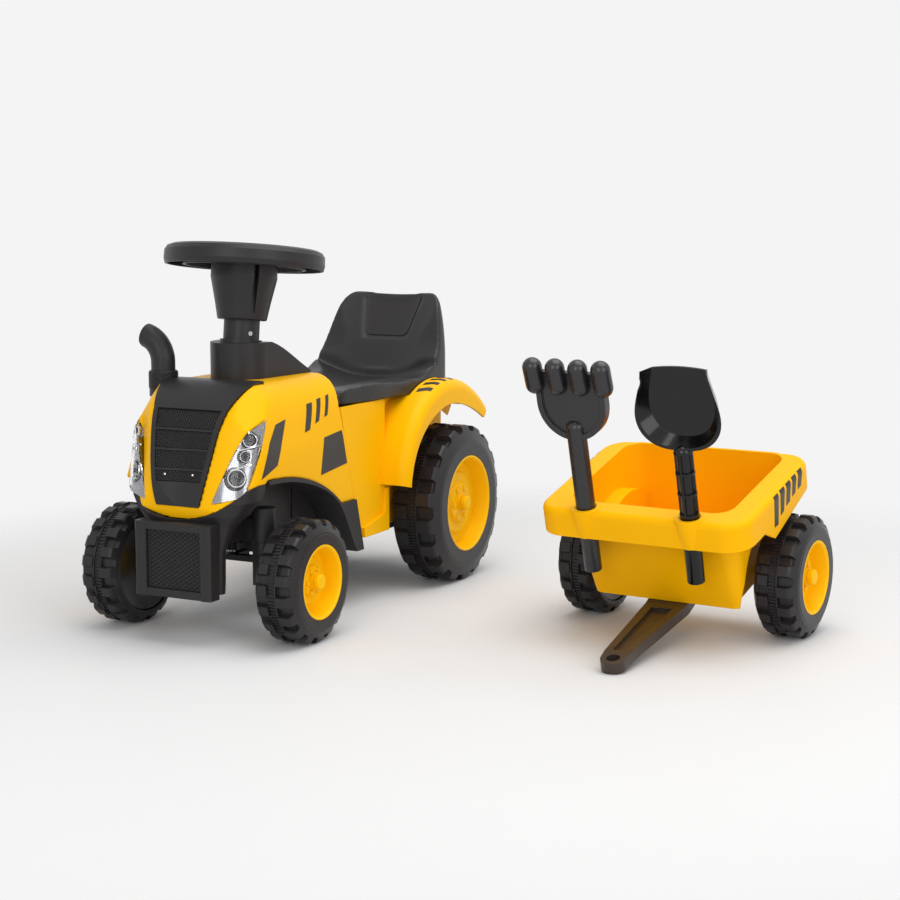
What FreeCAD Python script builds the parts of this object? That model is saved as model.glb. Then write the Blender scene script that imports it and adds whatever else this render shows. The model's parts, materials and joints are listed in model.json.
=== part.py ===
import FreeCAD, Part
import math
import os

# A ride on tractor for small children with a tipping trailer, a rake and a shovel.
# Millimetres. The tractor faces -Y, +X is its left side, +Z is up, and the floor is z = 0.
# While it is built, y = 0 is the rear axle. The finished set is moved so that the origin
# lies on the floor under the middle of the whole set.

V = FreeCAD.Vector

# Wheels and axles
wheelbase = 384.0
front_wheel_radius = 70.7
front_tyre_width = 52.0
front_hub_radius = 43.0
front_wheel_face = 145.0        # outer face of a front wheel from the middle plane
rear_wheel_radius = 102.5
rear_tyre_width = 65.0
rear_hub_radius = 63.0
rear_wheel_face = 141.0
lug_count = 18
lug_height = 6.5
tyre_wall = 5.0
hub_wall = 4.0
hub_bolt_count = 6
axle_radius = 5.0
cap_radius = 9.0
cap_length = 7.0

# Hood and nose
hood_half_width = 86.0
hood_top = 291.0
hood_bottom = 143.0
hood_front = -457.0
hood_rear = -239.0
hood_nose_depth = 40.0          # how far back the rounded nose reaches
nose_lean = 0.20                # how far the rounded front leans back per unit of height
brow_lean = 1.05                # the same for the sweep over its upper corners
brow_setback = 58.0             # behind hood_front at brow_height
brow_height = 250.0
panel_wall = 3.0
split_height = 254.0            # the hood's rear edge leans back below this height
split_lean = 0.27
lip_rise = 40.0                 # the hood's lower edge climbs this much from middle to side

# Grille and headlights
grille_bottom = 158.0
grille_bottom_half = 28.0
grille_shoulder = 264.0
grille_shoulder_half = 49.0
grille_top_half = 60.0
grille_rear = -368.0
grille_proud = 2.0
grille_recess = 2.0
grille_border = 6.0
grille_field_low = 185.0        # a plain strip lies below the sunk field
grille_rib_count = 3
grille_rib_pitch = 21.8
grille_rib = 2.4
lamp_low = 162.0
lamp_high = 254.0
lamp_inner = 43.0
lens_thickness = 2.0
lamp_depth = 12.0
# Reflector bowls from low to high: share of the lamp's height, across, back and radius
lamp_bowl_places = [(0.32, 26.0, 12.0, 14.0), (0.58, 33.0, 21.0, 9.5), (0.77, 36.0, 29.5, 11.0)]

# Front weight and apron
weight_front = -470.0
weight_half = 51.0
weight_low = 55.0
weight_high = 140.0
weight_depth = 18.0
weight_bar = 9.0                # height of the bars above and below the panel
pillar_width = 15.0
pillar_proud = 4.0

# Chassis and front axle
chassis_half = 44.0
chassis_plate = 6.0
beam_low = 112.0                # underside of the front cross beam
beam_high = 150.0
kingpin_x = 67.0
kingpin_radius = 6.0
kingpin_boss = 14.0
collar_radius = 13.0
pan_low = 76.0                  # underside of the rear pan
steer_arm = 30.0
tie_rod_low = 79.0
tie_rod_height = 7.0
peg_radius = 3.0

# Steering column
column_top_y = -311.0
wheel_height = 430.0
column_lean = 6.6               # degrees, top towards the rider
steering_radius = 94.0
rim_width = 25.0
rim_height = 23.0
rim_wall = 3.0
sleeve_top_radius = 39.0
sleeve_low_radius = 29.0
sleeve_length = 66.0
column_radius = 21.0
shaft_radius = 5.0
crank_radius = 18.0
steer_travel = 35.0             # degrees each way at the steering wheel
wheel_travel = 20.0             # degrees each way at the front wheels
button_radius = 17.0
button_travel = 4.0
button_height = 9.0
crank_height = 9.0
screw_head_radius = 2.6
cowl_top = 333.0
cowl_radius = 36.0
cowl_rear = -236.0
cowl_rear_half = 43.0

# Exhaust on the tractor's right side
exhaust_x = -70.0
exhaust_y = -380.0
exhaust_base_radius = 16.5
exhaust_base_top = 301.0
exhaust_pipe_radius = 14.0
exhaust_bend = 31.0
exhaust_turn = 75.0             # degrees

# Rear body, fenders and seat
body_half = 85.0
body_low = 84.0
body_top = 250.0
body_step = -125.0              # the side panel ends here, in front of the rear wheel
body_waist = 69.0               # half width between the rear wheels
body_rear = 72.0
store_floor = 136.0
fender_half = 124.0
fender_wall = 3.5
seat_half = 92.0
seat_front_half = 79.0
seat_front = -232.0
seat_rear = 74.0
seat_edge = 20.0                # height of the pan's rolled edge
seat_back_top = 375.0
seat_back_top_half = 70.0
seat_wall = 4.0
seat_pin_y = -226.0
seat_pin_height = 257.0
seat_pin_radius = 3.0

# Hitch
hitch_y = 96.0
hitch_pin_radius = 6.5
hitch_pin_height = 26.0
hitch_pin_round = 2.0
hitch_plate = 6.0

# Trailer, measured from the middle of its own axle with the bed level
trailer_x = 484.5
trailer_y = -98.1
trailer_yaw = -5.1              # degrees
trailer_wheel_face = 151.0
rim_top = 121.5
rim_front = -136.0
rim_rear = 72.0
rim_half_front = 127.0
rim_half_rear = 130.0
rim_flange = 25.0
rim_corner = 30.0
rim_round = 8.0
flange_front_depth = 33.0
flange_side_depth = 50.0
bed_floor = -8.0
bed_front = -82.0
bed_rear = 48.0
bed_half = 95.0
bed_wall = 3.5
bed_low_corner = 14.0
bed_high_corner = 22.0
arch_clearance = 8.5
arch_reach = 78.0               # inner face of the wheel arch bulge
drawbar_root = -40.0
drawbar_eye = -262.0
drawbar_root_half = 25.0
drawbar_eye_half = 14.0
drawbar_thickness = 13.0
drawbar_rise = 24.0             # the eye's height over the root
drawbar_knee = 7.0              # the rise starts this far in front of the bed
drawbar_pivot = -58.0
drawbar_pin_radius = 4.0
drawbar_turn = 6.0              # degrees, as it lies in the photograph
eye_radius = 7.5

# Rake and shovel, standing in the holders of the trailer's front rim
rake_x = -66.0
shovel_x = 61.0
holder_y = -124.0
handle_radius = 11.0
handle_shoulder = 1.0
handle_low = 44.0
holder_wall = 4.0
holder_depth = 28.0
rake_neck = 213.0
rake_top = 301.0
rake_half = 42.0
rake_tine_count = 4
rake_tine_radius = 11.0
rake_plate = 11.0
shovel_neck = 203.0
shovel_top = 291.0
shovel_half = 50.0
shovel_wall = 3.0
shovel_depth = 17.0
shovel_slope = 9.0              # how far the floor lies inside the rim
shovel_ring_count = 3

# Nose and shoulders of the hood
# The nose in the middle from bottom to top: share of the hood's height and setback from hood_front
nose_profile = [(-0.25, 30.0), (-0.06, 8.0), (0.115, 0.0), (0.554, 12.0), (0.804, 30.0), (0.926, 48.0),
                (0.980, 62.0), (1.0, 82.0)]
# The shoulder from side to top: share of the hood's height and how far it lies inside the side
shoulder = [(0.50, 0.0), (0.804, 4.0), (0.926, 12.0), (0.980, 22.0), (1.0, 38.0)]
# Shared steps along the front curve of every level, so that all levels match
nose_steps = [0.0, 0.115, 0.268, 0.5, 0.732, 0.885, 1.0]

# Front wheel arches
# The wheel arch's edge from front to back, measured from the front wheel's centre
arch_edge = [(-20.0, 109.0), (12.0, 108.0), (84.0, 93.0), (138.0, 62.0), (162.0, 24.0), (178.0, -1.0)]
arch_lip = 5.0
arch_wall = 3.5
arch_inner = 46.0
arch_proud = 3.0
arch_corner = 5                 # this many edge points lie under the hood

# Undertray and front axle
front_axle_y = -wheelbase
beam_depth = 24.0
riser_y = -290.0
pan_step = -188.0               # the pan widens behind the front wheel arches
pan_wall_top = 126.0
block_half = 9.5
arm_width = 13.0
arm_height = 7.0

# Steering wheel's spokes and hub, column bush, wheel hubs
spoke_turns = (0.0, 120.0, 240.0)
spoke_width = 27.0
hub_depth = 14.0
wheel_hub_radius = sleeve_top_radius - 1.0
bush_wall = 3.5
bush_length = 14.0
axle_end = 6.0
hub_web = 24.0

# Rear fenders
# The fender's crown from front to back, measured from the rear wheel's centre, with the
# depth of its rolled edge at each point
fender_crown = [
    (-140.0, 41.0, 12.0),
    (-134.0, 80.0, 17.0),
    (-113.0, 118.0, 24.0),
    (-70.0, 151.0, 30.0),
    (-20.0, 164.0, 32.0),
    (30.0, 158.0, 32.0),
    (68.0, 141.0, 28.0),
    (95.0, 121.0, 22.0),
]
fender_round = 15.0
ledge_proud = 5.0

# Seat hinge and the hollows of the seat
hinge_half = 24.0
hinge_arm = 9.0
scoop_radius = 200.0
pan_scoop = 9.0
back_scoop = 9.0
scoop_fade = 0.10                # how fast the hollow runs out towards the top
panel_sink = 2.0

# Drawbar pivot and tip
pin_depth = 8.0
drawbar_end = drawbar_eye - drawbar_eye_half

# Fits
running = 0.05                  # radial room of a shaft in its hole
seam = 0.25                     # room between panels of one body
swing = 0.4                     # room between pieces that move past each other
big = 1000.0                    # reach of cutting blocks

# Sizes that follow from the fits
pan_half = body_waist - panel_wall - seam
apron_front = weight_front + weight_depth + seam
# Levels of the apron from bottom to top: height, front edge, half width and nose depth
apron_levels = [
    (weight_low - 10, apron_front, weight_half - 1, 12.0),
    (105.0, apron_front, weight_half, 12.0),
    (122.0, apron_front - 0.5, weight_half + 5, 16.0),
    (136.0, hood_front + 3, weight_half + 12, 24.0),
    (148.0, hood_front, hood_half_width - 12, 32.0),
    (163.0, hood_front - 1, hood_half_width - 3, 38.0),
    (210.0, hood_front + 1, hood_half_width + 2, hood_nose_depth),
]


# Drawing helpers

def spot(axis, u, v, w):
    """Turn a sketch point (u, v) on the plane square to axis at w into a point in space."""
    if axis == "X":
        return V(w, u, v)
    if axis == "Y":
        return V(u, w, v)
    return V(u, v, w)


def run_edge(axis, points, w):
    """A straight edge through two points, or a smooth curve through more."""
    corners = [spot(axis, u, v, w) for u, v in points]
    if len(corners) == 2:
        return Part.LineSegment(corners[0], corners[1]).toShape()
    curve = Part.BSplineCurve()
    curve.interpolate(corners)
    return curve.toShape()


def outline(axis, runs, w=0.0):
    """A closed wire from runs of sketch points, each run starting where the last one ended."""
    return Part.Wire([run_edge(axis, points, w) for points in runs])


def corner_runs(points):
    """The straight runs of a closed polygon."""
    return [[points[i], points[(i + 1) % len(points)]] for i in range(len(points))]


def prism(axis, start, end, runs):
    """A sketch pulled along an axis from start to end."""
    face = Part.Face(outline(axis, runs, start))
    return face.extrude(spot(axis, 0, 0, end) - spot(axis, 0, 0, start))


def plate(axis, start, end, points):
    """A polygon pulled along an axis from start to end."""
    return prism(axis, start, end, corner_runs(points))


def block(x0, x1, y0, y1, z0, z1):
    return Part.makeBox(x1 - x0, y1 - y0, z1 - z0, V(x0, y0, z0))


def rod(base, way, radius, length):
    return Part.makeCylinder(radius, length, base, way)


def spun(points, axis, base=V(0, 0, 0)):
    """Turn a half section, given as (along the axis, radius), about an axis through base."""
    if axis == "X":
        corners = [base + V(along, 0, radius) for along, radius in points]
        way = V(1, 0, 0)
    else:
        corners = [base + V(radius, 0, along) for along, radius in points]
        way = V(0, 0, 1)
    face = Part.Face(Part.makePolygon(corners + corners[:1]))
    return face.revolve(base, way, 360)


def rounded(shape, radius, chosen):
    """Round the edges that chosen picks by their middle point and their box."""
    edges = [e for e in shape.Edges if chosen(e.BoundBox.Center, e.BoundBox)]
    return shape.makeFillet(radius, edges)


def mirrored(shape):
    return shape.mirror(V(0, 0, 0), V(1, 0, 0))


def joined(shapes):
    return shapes[0].multiFuse(shapes[1:]).removeSplitter()


# Hood, nose and what is set into them

def nose_section(z, front, half, rear, depth):
    """A level cut through a nose: straight back and sides with a smooth rounded front."""
    left = [(half, front + depth), (half * 0.93, front + depth * 0.40),
            (half * 0.58, front + depth * 0.05)]
    points = left + [(0.0, front)] + [(-x, y) for x, y in reversed(left)]
    curve = Part.BSplineCurve()
    curve.interpolate(Points=[V(x, y, z) for x, y in points], Parameters=nose_steps,
                      InitialTangent=V(0, -1, 0), FinalTangent=V(0, 1, 0))
    corners = [V(-half, front + depth, z), V(-half, rear, z), V(half, rear, z), V(half, front + depth, z)]
    sides = [Part.LineSegment(corners[i], corners[i + 1]).toShape() for i in range(3)]
    return Part.Wire([curve.toShape()] + sides)


def split_y(z):
    """Where the leaning joint between the hood and the rear body lies at a height."""
    return hood_rear + max(0.0, split_height - z) * split_lean


def nose_plan(inset):
    """The hood in plan, a rounded front and straight sides, leaning back as it rises."""
    low = hood_bottom - 0.5 * (hood_top - hood_bottom)
    tall = 2 * (hood_top - low)
    front = hood_front + inset - nose_lean * 0.6 * (hood_top - hood_bottom)
    wire = nose_section(low, front, hood_half_width - inset, split_y(0) + tall, hood_nose_depth)
    return Part.Face(wire).extrude(V(0, nose_lean * tall, tall))


def brow(inset):
    """The sweep that takes off the nose's upper corners, steep in lean and pointed in plan."""
    low = hood_bottom - 10 * panel_wall
    tall = 2 * (hood_top - low)
    half = hood_half_width - inset
    back = hood_front + brow_setback + inset - brow_lean * (brow_height - low)
    left = [(half, back), (half - 4, back - 10), (half - 12, back - 23), (half - 26, back - 40),
            (0, back - 72)]
    curve = left + [(-x, y) for x, y in reversed(left[:-1])]
    rear = hood_rear + 2 * tall
    face = outline("Z", [curve, [curve[-1], (-half, rear)], [(-half, rear), (half, rear)],
                         [(half, rear), curve[0]]], low)
    return Part.Face(face).extrude(V(0, brow_lean * tall, tall))


def skin(inset):
    """The hood's outer form, drawn in by inset: side profile, shoulders and plan together."""
    tall = hood_top - hood_bottom
    rear = split_y(0) + 10 * panel_wall
    front = [(hood_front + setback + inset,
              hood_bottom + share * tall - inset) for share, setback in nose_profile]
    top = hood_top - inset
    low = front[0][1]
    side = prism("X", -big, big, [front, [front[-1], (rear, top)], [(rear, top), (rear, low)],
                                  [(rear, low), front[0]]])
    left = [(hood_half_width - pinch - inset,
             hood_bottom + share * tall - inset) for share, pinch in shoulder]
    right = [(-x, z) for x, z in reversed(left)]
    half = left[0][0]
    face = prism("Y", -big, big, [left, [left[-1], right[0]], right, [right[-1], (-half, 0)],
                                  [(-half, 0), (half, 0)],
                                  [(half, 0), left[0]]])
    return side.common(face).common(nose_plan(inset)).common(brow(inset))


def ahead_of_split(inset):
    """Everything in front of the leaning joint, drawn forward by inset."""
    return plate("X", -big, big, [(-big, 0), (split_y(0) - inset, 0), (hood_rear - inset, split_height),
                                  (hood_rear - inset, big), (-big, big)])


def arch_run(grow):
    """The arch's edge moved outwards from the wheel by grow."""
    run = []
    for y, z in arch_edge:
        share = 1 + grow / math.hypot(y, z)
        run.append((y * share - wheelbase, z * share + front_wheel_radius))
    return run


def arch_front():
    """The front end of the wheel arch, where the apron begins."""
    return arch_run(arch_lip)[0][0] - seam


def under_arch(grow):
    """Everything below the wheel arch's upper lip."""
    top = arch_run(grow)[:arch_corner - 1]
    front = arch_front()
    return prism("X", -big, big, [[(front, top[0][1]), top[0]], top, [top[-1], (0, top[-1][1])],
                                  [(0, top[-1][1]), (0, -big)], [(0, -big), (front, -big)],
                                  [(front, -big), (front, top[0][1])]])


def under_lip(room):
    """Everything below the hood's curved front edge."""
    radius = (hood_half_width ** 2 + lip_rise ** 2) / (2 * lip_rise)
    front = arch_front()
    space = block(-big, big, -big, front, 0, hood_bottom + radius)
    return space.cut(rod(V(0, -big, hood_bottom + radius), V(0, 1, 0), radius + room, 2 * big))


def grille_sketch(room):
    """The grille's outline seen from the front, grown by room."""
    above = 4 * panel_wall
    slope = (grille_top_half - grille_shoulder_half) / (hood_top - grille_shoulder)
    half = [(grille_bottom_half + room, grille_bottom - room),
            (grille_shoulder_half + room, grille_shoulder),
            (grille_top_half + slope * above + room, hood_top + above)]
    return half + [(-x, z) for x, z in reversed(half)]


def grille_space(room):
    return plate("Y", -big, grille_rear + room, grille_sketch(room))


def grille_panel():
    """The black nose panel: smooth border and cap, a sunk field and cross ribs."""
    form = skin(-grille_proud).common(grille_space(0)).cut(skin(panel_wall))
    low = grille_field_low
    slope = (grille_shoulder_half - grille_bottom_half) / (grille_shoulder - grille_bottom)
    low_half = grille_bottom_half + slope * (low - grille_bottom) - grille_border
    high_half = grille_shoulder_half - grille_border
    field = plate("Y", -big, grille_rear, [(low_half, low), (high_half, grille_shoulder),
                                           (-high_half, grille_shoulder), (-low_half, low)])
    for i in range(grille_rib_count):
        z = grille_shoulder - grille_rib_pitch * (i + 1)
        field = field.cut(block(-big, big, -big, 0, z - grille_rib / 2, z + grille_rib / 2))
    return form.cut(field.cut(skin(grille_recess - grille_proud))).cut(exhaust_socket(seam))


def lamp_space(room):
    """The space of the left headlight, drawn in by room."""
    high = lamp_high + 6.0
    reach = hood_half_width + 4 * panel_wall
    tall = lamp_high - lamp_low
    inner = [(lamp_inner + room, lamp_low + room), (lamp_inner + 13 + room, lamp_low + 0.37 * tall),
             (lamp_inner + 26 + room, lamp_low + 0.72 * tall), (lamp_inner + 40 + room, lamp_high - room)]
    front = prism("Y", -big, 0, [inner, [inner[-1], (reach, high - room)],
                                 [(reach, high - room), (reach, lamp_low + 14)],
                                 [(reach, lamp_low + 14), (lamp_inner + 30, lamp_low + 7 + room)],
                                 [(lamp_inner + 30, lamp_low + 7 + room), inner[0]]])
    low_y = hood_front + 22.0 - room
    high_y = hood_front + 58.0 - room
    side = plate("X", 0, big, [(-big, 0), (low_y, 0), (low_y, lamp_low + 18), (high_y, lamp_high + 2),
                               (high_y, big), (-big, big)])
    return front.common(side)


def lamp_bowls():
    """The round reflector bowls of the left headlight, from the low lamp to the high one."""
    tall = lamp_high - lamp_low
    bowls = []
    for share, across, back, radius in lamp_bowl_places:
        centre = V(lamp_inner + across, hood_front + back, lamp_low + share * tall)
        bowls.append(Part.makeSphere(radius, centre))
    return bowls


def headlight_parts():
    """The left headlight: a clear lens flush with the hood and a reflector behind it."""
    space = lamp_space(seam).cut(under_lip(-seam))
    face = seam
    lens = space.common(skin(-face)).cut(skin(lens_thickness - face))
    back = space.common(skin(lens_thickness - face + seam)).cut(skin(lamp_depth))
    for bowl in lamp_bowls():
        back = back.cut(bowl)
    return lens, max(back.Solids, key=lambda solid: solid.Volume)


def exhaust_socket(room):
    low = hood_top - 1.2 * exhaust_base_radius
    return rod(V(exhaust_x, exhaust_y, low), V(0, 0, 1), exhaust_base_radius + room,
               exhaust_base_top - low)


def hood():
    """The yellow hood: a thin shell, open below, with the grille, lamps and exhaust let in."""
    form = skin(0).common(ahead_of_split(seam)).cut(under_arch(arch_lip)).cut(under_lip(0))
    form = form.cut(skin(panel_wall).common(ahead_of_split(panel_wall)))
    form = form.cut(grille_space(seam)).cut(exhaust_socket(running))
    lamp = lamp_space(0)
    form = form.cut(lamp).cut(mirrored(lamp))
    form = form.cut(column_rod(column_radius + swing, hood_top - 20, hood_top + 20))
    return max(form.Solids, key=lambda solid: solid.Volume)


def apron_form(inset):
    wires = [nose_section(z, front + inset, half - inset, hood_rear + inset, depth)
             for z, front, half, depth in apron_levels]
    return Part.makeLoft(wires, True, True)


def front_apron():
    """The black collar that sweeps from under the hood down to the weight."""
    rear = arch_front() - seam
    keep = under_lip(seam).common(block(-big, big, -big, rear, weight_low + 4,
                                        hood_bottom + lip_rise + arch_lip))
    high = hood_bottom + lip_rise
    sweep = [(rear, high), (rear - 9, high - 22), (rear - 27, high - 46), (apron_front + 14, high - 74),
             (apron_front + 12, weight_low)]
    keep = keep.common(prism("X", -big, big, [sweep, [sweep[-1], (-big, weight_low)],
                                              [(-big, weight_low), (-big, big)],
                                              [(-big, big), (rear, big)], [(rear, big), sweep[0]]]))
    form = apron_form(0).common(keep).cut(apron_form(panel_wall))
    return max(form.Solids, key=lambda solid: solid.Volume)


def front_weight():
    """The weight block: a sunk panel in a frame of two pillars and two bars."""
    back = weight_front + weight_depth
    sunk = weight_front + pillar_proud + 2
    form = block(-weight_half, weight_half, sunk, back, weight_low, weight_high)
    for low in (weight_low, weight_high - weight_bar):
        form = form.fuse(block(-weight_half, weight_half, weight_front + pillar_proud / 2, back, low,
                               low + weight_bar))
    for side in (-1, 1):
        outer = side * weight_half
        inner = side * (weight_half - pillar_width)
        pillar = block(min(outer, inner), max(outer, inner), weight_front, back, weight_low, weight_high)
        pillar = rounded(pillar, pillar_proud,
                         lambda c, b: c.y < weight_front + 0.1 and b.ZLength > weight_bar)
        form = form.fuse(pillar)
    return form.removeSplitter().cut(apron_form(-seam))


def arch_liner():
    """The left front wheel arch: a lip below the hood and a wall that runs inwards."""
    low = arch_run(0)
    lip = arch_run(arch_lip - seam)[:arch_corner - 1]
    foot = low[-1][1]
    heel = lip[-1][1]
    flange = prism("X", hood_half_width - 2 * panel_wall, hood_half_width + arch_proud, [
        low, [low[-1], (split_y(foot) - seam, foot)],
        [(split_y(foot) - seam, foot), (split_y(heel) - seam, heel)],
        [(split_y(heel) - seam, heel), lip[-1]], lip[::-1], [lip[0], low[0]]])
    top = arch_run(arch_wall)
    wall = prism("X", arch_inner, hood_half_width, [low, [low[-1], top[-1]], top[::-1], [top[0], low[0]]])
    return flange.fuse(wall).removeSplitter()


def column_way():
    lean = math.radians(column_lean)
    return V(0, math.sin(lean), math.cos(lean))


def column_spot(z):
    """The point of the leaning steering axis at a height."""
    return V(0, column_top_y + (z - wheel_height) * math.tan(math.radians(column_lean)), z)


def column_rod(radius, low, high):
    """A round bar on the steering axis between two heights."""
    base = column_spot(low)
    return rod(base, column_way(), radius, (column_spot(high) - base).Length)


def cowl_form(inset):
    """The cowl: round in front, flat on top, then sloping down to the rider."""
    centre = column_spot(cowl_top).y
    radius = cowl_radius - inset
    turns = [math.radians(15 * i) for i in range(13)]
    nose = [(radius * math.cos(t), centre - radius * math.sin(t)) for t in turns]
    rear = cowl_rear - inset
    half = cowl_rear_half - inset
    plan = prism("Z", hood_top, cowl_top + 10, [nose, [nose[-1], (-half, rear)],
                                                [(-half, rear), (half, rear)],
                                                [(half, rear), nose[0]]])
    top = cowl_top - inset
    tail = hood_top + 3.0 - inset
    flat = centre + cowl_radius / 4
    fall = cowl_top - hood_top
    slope = [(flat, top), (flat + 0.3 * (rear - flat), top - 0.22 * fall),
             (flat + 0.65 * (rear - flat), top - 0.58 * fall), (rear + inset, tail)]
    front = centre - cowl_radius
    side = prism("X", -big, big, [[(front - 1, top), (flat, top)], slope, [slope[-1], (slope[-1][0], 0)],
                                  [(slope[-1][0], 0), (front - 1, 0)],
                                  [(front - 1, 0), (front - 1, top)]])
    return plan.common(side)


def steering_cowl():
    form = cowl_form(0).cut(cowl_form(panel_wall))
    return form.cut(column_rod(column_radius + running + bush_wall + seam, hood_top, cowl_top + 20))


def column_bush():
    """The ring in the cowl that guides the steering column."""
    low = cowl_top + 2 - bush_length
    ring = column_rod(column_radius + running + bush_wall, low, low + bush_length)
    return ring.cut(column_rod(column_radius + running, low - 5, low + bush_length + 5))


def exhaust_base():
    depth = exhaust_pipe_radius * 0.8
    socket = rod(V(exhaust_x, exhaust_y, exhaust_base_top - depth), V(0, 0, 1),
                 exhaust_pipe_radius + running, depth + 1)
    form = exhaust_socket(0).cut(socket)
    return rounded(form, 1.0,
                   lambda c, b: c.z > exhaust_base_top - 0.1 and b.XLength > 2 * exhaust_pipe_radius + 1)


def exhaust_tube(radius, start):
    """A straight length and a bend towards the tractor's right."""
    foot = V(exhaust_x, exhaust_y, start)
    turn = V(exhaust_x, exhaust_y, exhaust_base_top + 10)
    straight = rod(foot, V(0, 0, 1), radius, turn.z - start)
    ring = Part.Face(Part.Wire(Part.Circle(turn, V(0, 0, 1), radius).toShape()))
    bend = ring.revolve(turn - V(exhaust_bend, 0, 0), V(0, -1, 0), exhaust_turn)
    return straight.fuse(bend)


def exhaust_pipe():
    start = exhaust_base_top - exhaust_pipe_radius * 0.8
    tube = exhaust_tube(exhaust_pipe_radius, start).cut(exhaust_tube(exhaust_pipe_radius - panel_wall,
                                                                     start - 1))
    tip = exhaust_x - exhaust_bend * 0.8
    return tube.common(block(tip, big, -big, big, 0, big))


# Chassis and front axle

def chassis_frame():
    """The black undertray: a front plate with kingpin bosses and a rear pan for the axle."""
    wall = panel_wall
    front = hood_front + 32
    form = [block(-chassis_half, chassis_half, front, riser_y, beam_low, beam_low + chassis_plate)]
    for side in (-1, 1):
        outer = side * chassis_half
        inner = side * (chassis_half - wall)
        form.append(block(min(outer, inner), max(outer, inner), front, riser_y, beam_low, beam_high - 10))
        form.append(rod(V(side * kingpin_x, front_axle_y, beam_low), V(0, 0, 1), kingpin_boss,
                        beam_high - beam_low))
        rail = side * pan_half
        lining = side * (pan_half - wall - 1)
        form.append(block(min(rail, lining), max(rail, lining), pan_step, body_rear - 6 * wall, pan_low,
                          pan_wall_top))
    form.append(block(-kingpin_x, kingpin_x, front_axle_y - beam_depth / 2, front_axle_y + beam_depth / 2,
                      beam_low, beam_high - 12))
    form.append(block(-chassis_half, chassis_half, riser_y - wall, riser_y + wall, pan_low,
                      beam_high - 10))
    form.append(block(-chassis_half, chassis_half, riser_y - wall, pan_step + wall, pan_low,
                      pan_low + chassis_plate))
    form.append(block(-pan_half, pan_half, pan_step, body_rear - 2 * wall, pan_low,
                      pan_low + chassis_plate))
    form.append(block(-pan_half, pan_half, pan_step, pan_step + wall, pan_low, pan_wall_top))
    rib_gap = (body_rear - pan_step) / 5
    for i in range(1, 5):
        y = pan_step + i * rib_gap
        form.append(block(-pan_half, pan_half, y, y + wall, pan_low, pan_low + 16))
    form.append(column_rod(2.2 * shaft_radius, beam_low, beam_low + 18))
    frame = joined(form)
    for side in (-1, 1):
        frame = frame.cut(rod(V(side * kingpin_x, front_axle_y, 0), V(0, 0, 1), kingpin_radius + running,
                              big))
    frame = frame.cut(rod(V(-big, 0, rear_wheel_radius), V(1, 0, 0), axle_radius + running, 2 * big))
    return frame.cut(column_rod(shaft_radius + running, 0, hood_top))


def knuckle():
    """The left steering knuckle: kingpin, collar, axle block and an arm that points back."""
    foot = V(kingpin_x, front_axle_y, 0)
    top = beam_low - swing
    low = front_wheel_radius - 2 * axle_radius
    form = [rod(foot + V(0, 0, low + 2), V(0, 0, 1), kingpin_radius, beam_high - low - 2)]
    form.append(rod(foot + V(0, 0, top - 14), V(0, 0, 1), collar_radius, 14))
    form.append(block(kingpin_x - block_half, kingpin_x + block_half, front_axle_y - block_half,
                      front_axle_y + block_half, low, top - 12))
    arm_top = tie_rod_low - swing
    end = foot + V(0, steer_arm, 0)
    form.append(block(kingpin_x - arm_width / 2, kingpin_x + arm_width / 2, front_axle_y, end.y,
                      arm_top - arm_height, arm_top))
    form.append(rod(end + V(0, 0, arm_top - arm_height), V(0, 0, 1), arm_width / 2, arm_height))
    form.append(rod(end + V(0, 0, arm_top - arm_height), V(0, 0, 1), peg_radius,
                    arm_height + swing + tie_rod_height + 3))
    body = joined(form)
    return body.cut(rod(V(0, front_axle_y, front_wheel_radius), V(1, 0, 0), axle_radius + running, big))


def front_axle():
    start = kingpin_x - block_half
    return rod(V(start, front_axle_y, front_wheel_radius), V(1, 0, 0), axle_radius,
               front_wheel_face - axle_end - start)


def tie_rod():
    """The bar that joins the knuckle arms, with a slotted lug for the steering crank."""
    y = front_axle_y + steer_arm
    low = tie_rod_low
    high = tie_rod_low + tie_rod_height
    eye = 2.9 * peg_radius
    form = [block(-kingpin_x, kingpin_x, y - 5, y + 5, low, high)]
    peg = crank_peg()
    form.append(block(-eye, eye, y, peg.y + eye, low, high))
    for side in (-1, 1):
        form.append(rod(V(side * kingpin_x, y, low), V(0, 0, 1), eye, tie_rod_height))
    bar = joined(form)
    room = peg_radius + swing + 0.2
    drop = steer_arm * (1 - math.cos(math.radians(wheel_travel)))
    for side in (-1, 1):
        x = side * kingpin_x
        bar = bar.cut(slot(x, y - drop, y, room, low, high))
    crank_drop = crank_radius * (1 - math.cos(math.radians(steer_travel)))
    return bar.cut(slot(0, peg.y - crank_drop, peg.y, room + 0.4, low, high))


def slot(x, y0, y1, radius, low, high):
    """An upright slot along Y with round ends."""
    ends = [rod(V(x, y, low - 1), V(0, 0, 1), radius, high - low + 2) for y in (y0, y1)]
    return joined(ends + [block(x - radius, x + radius, y0, y1, low - 1, high + 1)])


# Steering, built upright about its own axis and then leaned back

def on_column(shape):
    """Lean a shape back and set its origin at the centre of the steering wheel."""
    placed = shape.copy()
    placed.rotate(V(0, 0, 0), V(1, 0, 0), -column_lean)
    placed.translate(V(0, column_top_y, wheel_height))
    return placed


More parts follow.
